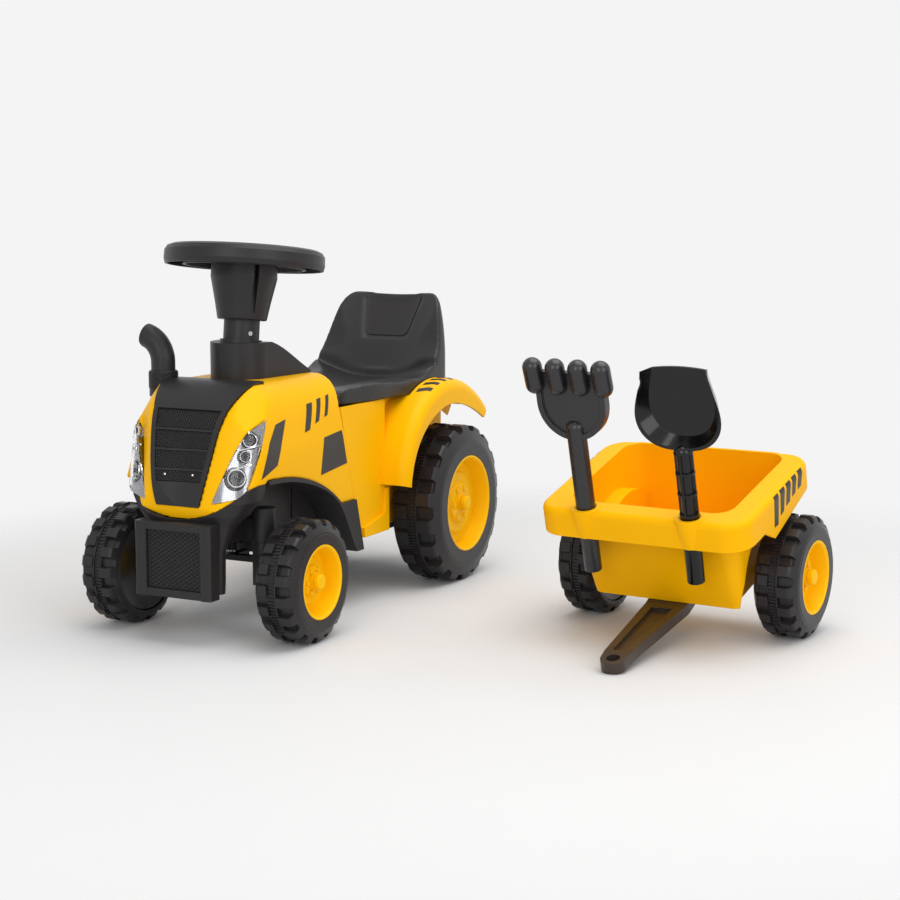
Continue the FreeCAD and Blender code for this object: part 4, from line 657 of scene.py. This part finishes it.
GRILLE_FIELD_TOP, GRILLE_FIELD_LOW = 264.0, 185.0
GRILLE_RIB_PITCH, GRILLE_RIB, GRILLE_RIBS = 21.8, 2.4, 3
GRILLE_TOP_HALF, GRILLE_LOW_HALF = 43.0, 27.35
GRILLE_EDGE = 0.7
BAND_GAP, BAND_SKIN = 1.5, 0.22
DIMPLE_SLOPE, FULL_CELL = 0.3, 0.95
LATTICE_GAP, LATTICE_RIDGE, LATTICE_FLOOR, LATTICE_LEAST = 1.0, 0.55, 0.06, 0.3
STUD_RADIUS, STUD_FOOT = 1.6, 0.3
STUDS = ((-16.9, 192.8, 455.4), (16.9, 192.8, 450.3))  # across, up and forwards to the grille's face
STUD_METAL, STUD_GLOSS = screen(225, 225, 228), 0.12
WEIGHT_PANEL_HALF, WEIGHT_PANEL_LOW, WEIGHT_PANEL_HIGH, WEIGHT_FACE = 35.0, 64.8, 130.2, 464.0
EXHAUST_X, EXHAUST_Y, EXHAUST_RADIUS = -70.0, -380.0, 16.5
EXHAUST_LOW, EXHAUST_HIGH, EXHAUST_ROWS, EXHAUST_COLUMNS = 281.0, 299.0, 9, 40
SLEEVE_GAP, SLEEVE_FLOOR, SLEEVE_SKIN = 0.6, 0.2, 0.15


def front_plane(away):
    """A drawing plane in front of the tractor: across is its left, up is up, out is forwards."""
    return Matrix(((1, 0, 0, 0), (0, 0, -1, -away), (0, 1, 0, 0), (0, 0, 0, 1)))


def other_cells(piece, across, up):
    """The numbers of every other full cell of a flat sheet, like a chessboard's dark squares."""
    faces = piece.data.polygons
    sizes = sorted(face.area for face in faces)
    full = FULL_CELL * sizes[len(sizes) // 2]
    left = min(vertex.co.x for vertex in piece.data.vertices)
    low = min(vertex.co.y for vertex in piece.data.vertices)
    return {face.index for face in faces if face.area > full
            and (int((face.center.x - left) / across) + int((face.center.y - low) / up)) % 2 == 0}


def sunk(piece, cells, inset, depth):
    """Push in the numbered cells, each by itself, with a small slope round its floor."""
    numbers = iter(range(len(piece.data.polygons)))
    choose(piece, lambda middle, normal: next(numbers) in cells)
    bpy.ops.mesh.inset(thickness=inset * MM, depth=-depth * MM, use_individual=True, use_even_offset=True)
    closed()


def grille_half(height):
    """Half the width of the grille's field at a height, less its edge."""
    slope = (GRILLE_TOP_HALF - GRILLE_LOW_HALF) / (GRILLE_FIELD_TOP - GRILLE_FIELD_LOW)
    return GRILLE_LOW_HALF + slope * (height - GRILLE_FIELD_LOW) - GRILLE_EDGE


def grille_band(name, low, high):
    """A band with a chessboard of dimples, laid on the grille between two of its ribs."""
    sizes = bpy.context.scene.tractor_sizes
    low_half, high_half = grille_half(low), grille_half(high)
    corners = [(-low_half, low), (low_half, low), (high_half, high), (-high_half, high)]
    columns = round(2 * high_half / (sizes.dimple_pitch / MM / 2))
    rows = round((high - low) / (sizes.dimple_rise / MM / 2))
    across, up = 2 * high_half / columns, (high - low) / rows
    piece = sheet(name, corners, across, up)
    cells = other_cells(piece, across, up)
    laid(piece, tractor_frame() @ front_plane(PLANE_AHEAD), "grille_panel", BAND_GAP)
    sunk(piece, cells, DIMPLE_SLOPE, sizes.dimple_depth / MM - BAND_SKIN)
    thicken(piece, BAND_SKIN * MM, -1.0)
    dressed(piece, "tractor", finish("panel"), SHADE_FINE)


def grille_stud(name, x, z, face):
    """A small bright dome on the grille's face."""
    cleared()
    bpy.ops.mesh.primitive_uv_sphere_add(segments=20, ring_count=10, radius=STUD_RADIUS)
    stud = named(name)
    opened(stud)
    bpy.ops.mesh.bisect(plane_co=(0, 0, STUD_FOOT), plane_no=(0, 0, 1), clear_inner=True, use_fill=True)
    closed()
    stood(stud, tractor_frame() @ Matrix.Translation((x, 0, z)) @ front_plane(face))
    dressed(stud, "tractor", brushed("bright_stud", STUD_METAL, STUD_GLOSS), SHADE_CRISP)


class TRACTOR_OT_grille(bpy.types.Operator):
    """Lay the dimpled bands between the grille's ribs and set its two bright studs"""
    bl_idname = "tractor.grille"
    bl_label = "Grille bands and studs"

    def execute(self, context):
        ribs = [GRILLE_FIELD_TOP - GRILLE_RIB_PITCH * (number + 1) for number in range(GRILLE_RIBS)]
        highs = [GRILLE_FIELD_TOP - GRILLE_EDGE] + [rib - GRILLE_RIB / 2 - GRILLE_EDGE / 2 for rib in ribs]
        lows = [rib + GRILLE_RIB / 2 + GRILLE_EDGE / 2 for rib in ribs] + [GRILLE_FIELD_LOW + GRILLE_EDGE]
        for number, (high, low) in enumerate(zip(highs, lows), 1):
            grille_band(f"grille_band_{number}", low, high)
        for number, spot in enumerate(STUDS, 1):
            grille_stud(f"grille_stud_{number}", *spot)
        return {"FINISHED"}


class TRACTOR_OT_weight_lattice(bpy.types.Operator):
    """Fill the front weight's sunk panel with its lattice of small diamonds"""
    bl_idname = "tractor.weight_lattice"
    bl_label = "Front weight lattice"

    def execute(self, context):
        sizes = context.scene.tractor_sizes
        wide, tall = sizes.lattice_width / MM, sizes.lattice_height / MM
        half, low, high = WEIGHT_PANEL_HALF, WEIGHT_PANEL_LOW, WEIGHT_PANEL_HIGH
        count = 2 * math.ceil((2 * half / wide + (high - low) / tall) / 2)
        cleared()
        bpy.ops.mesh.primitive_grid_add(x_subdivisions=count, y_subdivisions=count, size=count,
                                        rotation=(0, 0, math.pi / 4))
        piece = applied(named("weight_lattice"))
        piece.scale = (wide / math.sqrt(2), tall / math.sqrt(2), 1.0)
        piece.location = (0, (low + high) / 2, 0)
        applied(piece)
        bpy.ops.object.mode_set(mode="EDIT")
        for across, up, out in ((half, 0, (1, 0, 0)), (-half, 0, (-1, 0, 0)), (0, low, (0, -1, 0)),
                                (0, high, (0, 1, 0))):
            bpy.ops.mesh.select_all(action="SELECT")
            bpy.ops.mesh.bisect(plane_co=(across, up, 0), plane_no=out, clear_outer=True, threshold=ON_PLANE)
        closed()
        stood(piece, tractor_frame() @ front_plane(WEIGHT_FACE + LATTICE_GAP))
        least = LATTICE_LEAST * wide * tall / 2 * MM * MM
        cells = {face.index for face in piece.data.polygons if face.area > least}
        sunk(piece, cells, LATTICE_RIDGE, LATTICE_GAP - BAND_SKIN - LATTICE_FLOOR)
        thicken(piece, BAND_SKIN * MM, -1.0)
        dressed(piece, "tractor", finish("panel"), SHADE_FINE)
        return {"FINISHED"}


class TRACTOR_OT_exhaust_sleeve(bpy.types.Operator):
    """Wrap the exhaust's foot in its dimpled sleeve"""
    bl_idname = "tractor.exhaust_sleeve"
    bl_label = "Exhaust sleeve"

    def execute(self, context):
        rows, columns = EXHAUST_ROWS, EXHAUST_COLUMNS
        rise = (EXHAUST_HIGH - EXHAUST_LOW) / rows
        cleared()
        bpy.ops.mesh.primitive_circle_add(vertices=columns, radius=EXHAUST_RADIUS + SLEEVE_GAP)
        piece = named("exhaust_sleeve")
        opened(piece)
        for _ in range(rows):
            bpy.ops.mesh.extrude_region_move(TRANSFORM_OT_translate={"value": (0, 0, rise)})
        closed()
        faced(piece)
        cells = {face.index for face in piece.data.polygons
                 if (round(math.atan2(face.center.y, face.center.x) * columns / (2 * math.pi) - 0.5)
                     + int(face.center.z / rise)) % 2 == 0}
        stood(piece, tractor_frame() @ Matrix.Translation((EXHAUST_X, EXHAUST_Y, EXHAUST_LOW)))
        sunk(piece, cells, DIMPLE_SLOPE, SLEEVE_GAP - SLEEVE_FLOOR)
        thicken(piece, SLEEVE_SKIN * MM, -1.0)
        dressed(piece, "tractor", finish("panel"), SHADE_FINE)
        return {"FINISHED"}


# Headlights: a ring and a dish in each reflector bowl and bars between them, set behind the left lens's face;
# the dish's dark tint is painted dark reflection

LAMP_FACING = Vector((0.55, -0.80, 0.15)).normalized()
LAMPS = (("low", (69.7, -442.3, 191.9), 10.6), ("middle", (76.4, -433.5, 215.5), 6.6),
         ("upper", (78.9, -427.7, 233.3), 8.4))
LAMP_DEPTH, LAMP_DISH_SHARE = 4.0, 0.80
LAMP_BAR, LAMP_BAR_TURN, LAMP_BAR_EDGE = (26.0, 2.6, 3.0), math.radians(14.0), (0.94, 0.4, 1.0)
LAMP_POINTS, LAMP_FOOT = 40, 2.0
RING_METAL, RING_GLOSS = screen(228, 229, 232), 0.07
# The dish's dark grey is painted dark reflection: it stands in for the dark things that a bright chrome dish
# would mirror
DISH_PAINTED_REFLECTION, DISH_GLOSS = screen(66, 66, 70), 0.10

# Steps of a round lamp piece's front: how far inwards, as a share of its radius, and how far out or in
LAMP_RING = ((0.06, 0.6), (0.10, 0.0), (0.04, -1.6))
LAMP_DISH = ((0.03, 0.2), (0.20, -0.5), (0.24, -0.3), (0.14, 0.2), (0.10, 1.2), (0.12, 0.4))


def lamp_plane(spot, side):
    """A drawing plane in a headlight, a little behind its lens: out is where the lamp faces."""
    turn = LAMP_FACING.to_track_quat("Z", "Y").to_matrix().to_4x4()
    deep = Vector(spot) - LAMP_FACING * LAMP_DEPTH
    return tractor_frame() @ Matrix.Diagonal((side, 1, 1, 1)) @ Matrix.Translation(deep) @ turn


def lamp_round(name, radius, steps, plane, metal):
    """A ring or a dish: a short cylinder whose front is stepped inwards."""
    cleared()
    bpy.ops.mesh.primitive_cylinder_add(vertices=LAMP_POINTS, radius=radius, depth=LAMP_FOOT)
    piece = named(name)
    choose(piece, lambda middle, normal: normal.z > FACING_UP)
    for share, depth in steps:
        bpy.ops.mesh.inset(thickness=share * radius, depth=depth)
    closed()
    stood(piece, plane)
    dressed(piece, "tractor", metal, SHADE_CRISP)


class TRACTOR_OT_lamps(bpy.types.Operator):
    """Set a bright ring and a dish with its bulb, dark as painted reflection, into each headlight bowl, and
    bars between the bowls
    """
    bl_idname = "tractor.lamps"
    bl_label = "Headlight rings, dishes and bars"

    def execute(self, context):
        bright = brushed("bright_ring", RING_METAL, RING_GLOSS)
        # The ring is bright metal; the dish's dark metal is painted dark reflection
        dark = brushed("dish_painted_reflection", DISH_PAINTED_REFLECTION, DISH_GLOSS)
        slant = Matrix.Rotation(LAMP_BAR_TURN, 4, "Z")
        for word, side in SIDES:
            for name, spot, radius in LAMPS:
                plane, inner = lamp_plane(spot, side), radius * LAMP_DISH_SHARE
                lamp_round(f"headlight_ring_{name}_{word}", radius, LAMP_RING, plane, bright)
                lamp_round(f"headlight_dish_{name}_{word}", inner, LAMP_DISH, plane, dark)
            for number, (over, under) in enumerate(zip(LAMPS[1:], LAMPS), 1):
                piece = tapered(f"headlight_bar_{number}_{word}", LAMP_BAR, LAMP_BAR_EDGE)
                between = (Vector(over[1]) + Vector(under[1])) / 2
                stood(piece, lamp_plane(between, side) @ slant)
                dressed(piece, "tractor", bright, SHADE_CRISP)
        return {"FINISHED"}


# Fine cross ribs on the tyres' middle band

FRONT_AXLE, REAR_AXLE = Vector((0.0, FRONT_AXLE_Y, FRONT_RADIUS)), Vector((0.0, 0.0, REAR_RADIUS))
TRAILER_AXLE = Vector((0.0, 0.0, 0.0))
TYRES = (
    ("front", FRONT_RADIUS, FRONT_WIDTH, FRONT_FACE, FRONT_AXLE, "front_ribs"),
    ("rear", REAR_RADIUS, REAR_WIDTH, REAR_FACE, REAR_AXLE, "rear_ribs"),
    ("trailer", FRONT_RADIUS, FRONT_WIDTH, TRAILER_FACE, TRAILER_AXLE, "front_ribs"),
)
BAND_START, BAND_END, BAND_DROP = 0.455, 0.615, 4.0
RIB_WIDTH, RIB_FOOT, RIB_TOP = 2.4, 0.3, (0.94, 0.55, 1.0)


def wheel_frame(kind):
    """The frame that a kind of wheel is measured in."""
    return trailer_frame() if kind == "trailer" else tractor_frame()


class TRACTOR_OT_tyre_ribs(bpy.types.Operator):
    """Spin the fine cross ribs round the middle band of every tyre"""
    bl_idname = "tractor.tyre_ribs"
    bl_label = "Tyre ribs"

    def execute(self, context):
        sizes = context.scene.tractor_sizes
        for kind, radius, width, face, axle, count_name in TYRES:
            base = wheel_frame(kind)
            count = getattr(sizes, count_name)
            floor = radius - BAND_DROP - RIB_FOOT
            high = sizes.rib_height / MM + RIB_FOOT
            rib = ((BAND_END - BAND_START) * width, RIB_WIDTH, high)
            for word, side in SIDES:
                piece = tapered(f"{kind}_tyre_ribs_{word}", rib, RIB_TOP, floor + high / 2)
                opened(piece)
                bpy.ops.mesh.spin(steps=count - 1, dupli=True, angle=2 * math.pi * (count - 1) / count,
                                  center=(0, 0, 0), axis=(1, 0, 0))
                closed()
                middle = side * (face - width * (BAND_START + BAND_END) / 2)
                stood(piece, base @ Matrix.Translation(axle + Vector((middle, 0, 0))))
                dressed(piece, f"{kind}_wheel_{word}", finish("tyre"), SHADE_CRISP)
        return {"FINISHED"}


# The seat: the solid's form with the soft moulded transitions that the photograph shows

SEAT_VOXEL, SEAT_SMOOTHING = 1.8, 26
SEAT_FIXED_HEIGHT, SEAT_FIXED_FRONT, SEAT_BLEND = 256.0, -204.0, 14.0
SEAT_PANEL = [(-31.0, 316.0), (31.0, 316.0), (42.0, 367.0), (-42.0, 367.0)]
SEAT_PANEL_CORNER, SEAT_PANEL_RISE, SEAT_PANEL_EDGE, SEAT_PANEL_GAP = 9.0, 0.9, 0.4, 0.05
SEAT_PANEL_LOWER, SEAT_PANEL_SHARP = (0, 1), math.radians(50.0)
CORNER_STEPS = 5


def eased(corners, radius, rounded_ones):
    """Round some corners of an outline by short straight steps."""
    count = len(corners)
    result = []
    for number, corner in enumerate(corners):
        here = Vector(corner)
        if number not in rounded_ones:
            result.append(tuple(here))
            continue
        before = (Vector(corners[number - 1]) - here).normalized() * radius
        after = (Vector(corners[(number + 1) % count]) - here).normalized() * radius
        for step in range(CORNER_STEPS + 1):
            share = step / CORNER_STEPS
            result.append(tuple(here + before * (1 - share) ** 2 + after * share ** 2))
    return result


class TRACTOR_OT_seat(bpy.types.Operator):
    """Stand in for the seat's solid with softer transitions, and set the raised panel on its back"""
    bl_idname = "tractor.seat"
    bl_label = "Moulded seat"

    def execute(self, context):
        piece = copied(frame["nodes"]["seat"], "moulded_seat")
        faced(piece)
        finish_modifier(piece, "REMESH", mode="VOXEL", voxel_size=SEAT_VOXEL * MM)
        soft = piece.vertex_groups.new(name="soft")
        for vertex in piece.data.vertices:
            spot = (vertex.co - START) / MM
            over, behind = spot.z - SEAT_FIXED_HEIGHT, spot.y - SEAT_FIXED_FRONT
            weight = min(over / SEAT_BLEND, behind / SEAT_BLEND, 1.0)
            if weight > 0.0:
                soft.add([vertex.index], weight, "REPLACE")
        finish_modifier(piece, "SMOOTH", factor=SMOOTH_SHARE, iterations=SEAT_SMOOTHING, vertex_group="soft")
        piece.vertex_groups.clear()
        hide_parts("seat")
        dressed(piece, "seat_lid", finish("seat"), SHADE_ROUND)
        outline = eased(SEAT_PANEL, SEAT_PANEL_CORNER, SEAT_PANEL_LOWER)
        panel = sheet("seat_panel", outline, FILM_CELL, FILM_CELL)
        laid(panel, tractor_frame() @ front_plane(PLANE_AHEAD), piece, SEAT_PANEL_GAP)
        thicken(panel, SEAT_PANEL_RISE * MM)
        finish_modifier(panel, "BEVEL", width=SEAT_PANEL_EDGE * MM, segments=2, limit_method="ANGLE",
                        angle_limit=SEAT_PANEL_SHARP)
        dressed(panel, "seat_lid", finish("film"), SHADE_SOFT)
        return {"FINISHED"}


# Black inner faces of the wheels and the inner walls of the front wheel arches

SHIELD_EDGES = {"front": 54.6, "rear": 86.4, "trailer": 54.6}

# From the edge to the hole: the share of the way that is left, and the depth
SHIELD_STEPS = ((1.0, 0.0), (0.82, 2.5), (0.45, 6.0), (0.14, 7.0), (0.04, 5.0), (0.0, 3.0), (0.0, -2.0))
SHIELD_HOLE, SHIELD_IN, SHIELD_WALL, SHIELD_POINTS = 14.6, 2.5, 1.0, 72
ARCH_WALLS = (
    [(-424.0, 140.0), (-289.0, 140.0), (-289.0, 186.0), (-350.0, 193.0), (-424.0, 193.0)],
    [(-286.5, 84.0), (-222.0, 84.0), (-222.0, 150.0), (-260.0, 176.0), (-286.5, 186.0)],
)
ARCH_WALL_AT, ARCH_WALL, ARCH_WALL_CELL = 44.4, 1.2, 8.0


class TRACTOR_OT_wheel_shields(bpy.types.Operator):
    """Close the inner side of every wheel with a dished black disc"""
    bl_idname = "tractor.wheel_shields"
    bl_label = "Wheel inner faces"

    def execute(self, context):
        for kind, _, width, face, axle, _ in TYRES:
            base = wheel_frame(kind)
            reach = SHIELD_EDGES[kind] - SHIELD_HOLE
            rings = [(SHIELD_HOLE + share * reach, depth) for share, depth in SHIELD_STEPS]
            for word, side in SIDES:
                cleared()
                bpy.ops.mesh.primitive_circle_add(vertices=SHIELD_POINTS, radius=rings[0][0])
                piece = named(f"{kind}_wheel_shield_{word}")
                drawn_out(piece, rings)
                closed()
                faced(piece)
                thicken(piece, SHIELD_WALL, 0.0)
                turn = Matrix.Rotation(side * math.pi / 2, 4, "Y")
                spot = axle + Vector((side * (face - width + SHIELD_IN), 0, 0))
                stood(piece, base @ Matrix.Translation(spot) @ turn)
                dressed(piece, f"{kind}_wheel_{word}", finish("tyre"), SHADE_SOFT)
        return {"FINISHED"}


class TRACTOR_OT_arch_walls(bpy.types.Operator):
    """Close the inner side of each front wheel arch with its black wall"""
    bl_idname = "tractor.arch_walls"
    bl_label = "Wheel arch inner walls"

    def execute(self, context):
        for word, side in SIDES:
            for number, corners in enumerate(ARCH_WALLS, 1):
                piece = sheet(f"arch_wall_{number}_{word}", corners, ARCH_WALL_CELL, ARCH_WALL_CELL)
                stood(piece, tractor_frame() @ film_plane(side, ARCH_WALL_AT))
                thicken(piece, ARCH_WALL * MM)
                dressed(piece, "tractor", finish("panel"), SHADE_CRISP)
        return {"FINISHED"}


# Pockets on the trailer's front rim that hold the rake and the shovel

TOOL_HOLDERS = (("rake_holder", -66.0), ("shovel_holder", 61.0))
HOLDER_Y, RIM_TOP = -124.0, 121.5

# Radius and height over the rim of each ring, from the mouth round the lip and down to the foot and back up
HOLDER_STEPS = ((11.6, 0.2), (12.4, 1.2), (16.6, 1.2), (17.6, 0.4), (17.8, -3.0), (16.6, -12.0),
                (13.2, -33.0), (11.4, -33.0), (11.4, -6.0))
HOLDER_POINTS = 56


class TRACTOR_OT_tool_holders(bpy.types.Operator):
    """Set the rounded pockets for the two tools on the trailer's front rim"""
    bl_idname = "tractor.tool_holders"
    bl_label = "Tool pockets"

    def execute(self, context):
        for name, x in TOOL_HOLDERS:
            cleared()
            radius, height = HOLDER_STEPS[0]
            bpy.ops.mesh.primitive_circle_add(vertices=HOLDER_POINTS, radius=radius, location=(0, 0, height))
            piece = applied(named(name))
            drawn_out(piece, HOLDER_STEPS)
            bpy.ops.mesh.select_all(action="SELECT")
            bpy.ops.mesh.normals_make_consistent(inside=False)
            closed()
            stood(piece, trailer_frame() @ Matrix.Translation((x, HOLDER_Y, RIM_TOP)))
            dressed(piece, "trailer_bed", finish("bed"), SHADE_CRISP)
        return {"FINISHED"}


# Floor, lights and camera

CAMERA_SPOT = (1159.231, -2097.487, 498.795)
CAMERA_TURN, CAMERA_DROP = math.radians(26.513), math.radians(7.96)
FRAME_WIDTH, FARTHEST = 36.0, 20.0
FLOOR_SIZE, FADE_START, FADE_END = 5.0, 0.62, 1.10

# Each light's spot, what it looks at and its size, in metres
KEY_LIGHT = ((0.5, 0.1, 2.4), (0.0, -0.1, 0.1), 2.2)
FILL_LEFT = ((2.1, -1.2, 1.0), (0.0, 0.0, 0.15), 1.3)
FILL_FRONT = ((0.2, -2.4, 1.0), (0.0, 0.0, 0.15), 1.3)


def area_light(name, spot, aim, size, power):
    """A square soft light that looks at a point."""
    cleared()
    bpy.ops.object.light_add(type="AREA", location=spot)
    lamp = bpy.context.active_object
    lamp.name = name
    lamp.data.shape = "SQUARE"
    lamp.data.size = size
    lamp.data.energy = power
    lamp.rotation_euler = (Vector(aim) - Vector(spot)).to_track_quat("-Z", "Y").to_euler()


def floor_material(tint):
    """A pale floor that fades out all round, so that it runs into the backdrop."""
    material, shader = blank_material("studio_floor")
    tree = material.node_tree
    shader.inputs["Roughness"].default_value = 0.6
    shader.inputs["Specular IOR Level"].default_value = 0.1
    spot = node(tree, "TexCoord").outputs["Object"]
    dust = node(tree, "TexNoise", {"Scale": 30.0, "Detail": 2.0}, {"Vector": spot})
    tone = node(tree, "MapRange", {"To Min": 0.985, "To Max": 1.0}, {"Value": dust.outputs["Fac"]})
    shade = node(tree, "VectorMath", {0: tint}, {"Scale": tone.outputs["Result"]}, operation="SCALE")
    tree.links.new(shade.outputs["Vector"], shader.inputs["Base Color"])
    away = node(tree, "VectorMath", None, {0: spot}, operation="LENGTH")
    fade = node(tree, "MapRange",
                {"From Min": FADE_START, "From Max": FADE_END, "To Min": 1.0, "To Max": 0.0},
                {"Value": away.outputs["Value"]}, interpolation_type="SMOOTHSTEP")
    tree.links.new(fade.outputs["Result"], shader.inputs["Alpha"])
    return material


def studio_world(backdrop, strength):
    """Even light all round, with the backdrop's colour where the camera, metal or clear plastic sees it."""
    world = bpy.data.worlds.new("studio")
    world.use_nodes = True
    tree = world.node_tree
    tree.nodes.clear()
    rays = node(tree, "LightPath")
    seen = node(tree, "Math", None, {0: rays.outputs["Is Camera Ray"], 1: rays.outputs["Is Glossy Ray"]},
                operation="MAXIMUM")
    seen = node(tree, "Math", None, {0: seen.outputs[0], 1: rays.outputs["Is Transmission Ray"]},
                operation="MAXIMUM")
    sky = node(tree, "Background", {"Color": (1.0, 1.0, 1.0, 1.0), "Strength": strength})
    drop = node(tree, "Background", {"Color": (*backdrop, 1.0), "Strength": 1.0})
    mixed = node(tree, "MixShader", None, {0: seen.outputs[0], 1: sky.outputs[0], 2: drop.outputs[0]})
    node(tree, "OutputWorld", None, {"Surface": mixed.outputs[0]})
    bpy.context.scene.world = world


class TRACTOR_OT_stage(bpy.types.Operator):
    """Set the pale floor, the soft studio lights and the camera"""
    bl_idname = "tractor.stage"
    bl_label = "Studio stage"

    def execute(self, context):
        settings = context.scene.tractor_stage
        cleared()
        bpy.ops.mesh.primitive_plane_add(size=FLOOR_SIZE)
        floor = named("studio_floor")
        floor.data.materials.append(floor_material(tuple(settings.floor)))
        studio_world(tuple(settings.backdrop), settings.sky)
        area_light("key", *KEY_LIGHT, settings.key)
        area_light("fill_left", *FILL_LEFT, settings.fill)
        area_light("fill_front", *FILL_FRONT, settings.fill)
        cleared()
        bpy.ops.object.camera_add(location=place(*CAMERA_SPOT))
        camera = context.active_object
        camera.name = "photo_camera"
        back = Vector((math.sin(CAMERA_TURN) * math.cos(CAMERA_DROP),
                       -math.cos(CAMERA_TURN) * math.cos(CAMERA_DROP), math.sin(CAMERA_DROP)))
        right = Vector((math.cos(CAMERA_TURN), math.sin(CAMERA_TURN), 0.0))
        columns = Matrix((right, back.cross(right), back)).transposed()
        camera.matrix_world = Matrix.Translation(place(*CAMERA_SPOT)) @ columns.to_4x4()
        camera.data.sensor_width = FRAME_WIDTH
        camera.data.lens = settings.lens
        camera.data.clip_end = FARTHEST
        context.scene.camera = camera
        context.scene.view_settings.view_transform = "Standard"
        return {"FINISHED"}


STEPS = (TRACTOR_OT_finishes, TRACTOR_OT_hood, TRACTOR_OT_hood_films, TRACTOR_OT_stripes,
         TRACTOR_OT_grille, TRACTOR_OT_weight_lattice, TRACTOR_OT_exhaust_sleeve, TRACTOR_OT_lamps,
         TRACTOR_OT_tyre_ribs, TRACTOR_OT_seat, TRACTOR_OT_wheel_shields, TRACTOR_OT_arch_walls,
         TRACTOR_OT_tool_holders, TRACTOR_OT_stage)


class TRACTOR_PT_panel(bpy.types.Panel):
    """The toy tractor's steps and settings"""
    bl_idname = "TRACTOR_PT_panel"
    bl_label = "Toy tractor"
    bl_space_type = "VIEW_3D"
    bl_region_type = "UI"
    bl_category = "Toy tractor"

    def draw(self, context):
        column = self.layout.column(align=True)
        for step in STEPS:
            column.operator(step.bl_idname)
        scene = context.scene
        for settings in (scene.tractor_colours, scene.tractor_sizes, scene.tractor_stage):
            box = self.layout.box()
            for key in settings.__annotations__:
                box.prop(settings, key)


CLASSES = (TractorColours, TractorSizes, StageSettings) + STEPS + (TRACTOR_PT_panel,)


def register():
    for item in CLASSES:
        bpy.utils.register_class(item)
    bpy.types.Scene.tractor_colours = PointerProperty(type=TractorColours)
    bpy.types.Scene.tractor_sizes = PointerProperty(type=TractorSizes)
    bpy.types.Scene.tractor_stage = PointerProperty(type=StageSettings)


def unregister():
    del bpy.types.Scene.tractor_stage
    del bpy.types.Scene.tractor_sizes
    del bpy.types.Scene.tractor_colours
    for item in reversed(CLASSES):
        bpy.utils.unregister_class(item)


def main():
    register()
    bpy.ops.tractor.finishes()
    bpy.ops.tractor.hood()
    bpy.ops.tractor.hood_films()
    bpy.ops.tractor.stripes()
    bpy.ops.tractor.grille()
    bpy.ops.tractor.weight_lattice()
    bpy.ops.tractor.exhaust_sleeve()
    bpy.ops.tractor.lamps()
    bpy.ops.tractor.tyre_ribs()
    bpy.ops.tractor.seat()
    bpy.ops.tractor.wheel_shields()
    bpy.ops.tractor.arch_walls()
    bpy.ops.tractor.tool_holders()
    bpy.ops.tractor.stage()


if __name__ == "__main__":
    main()
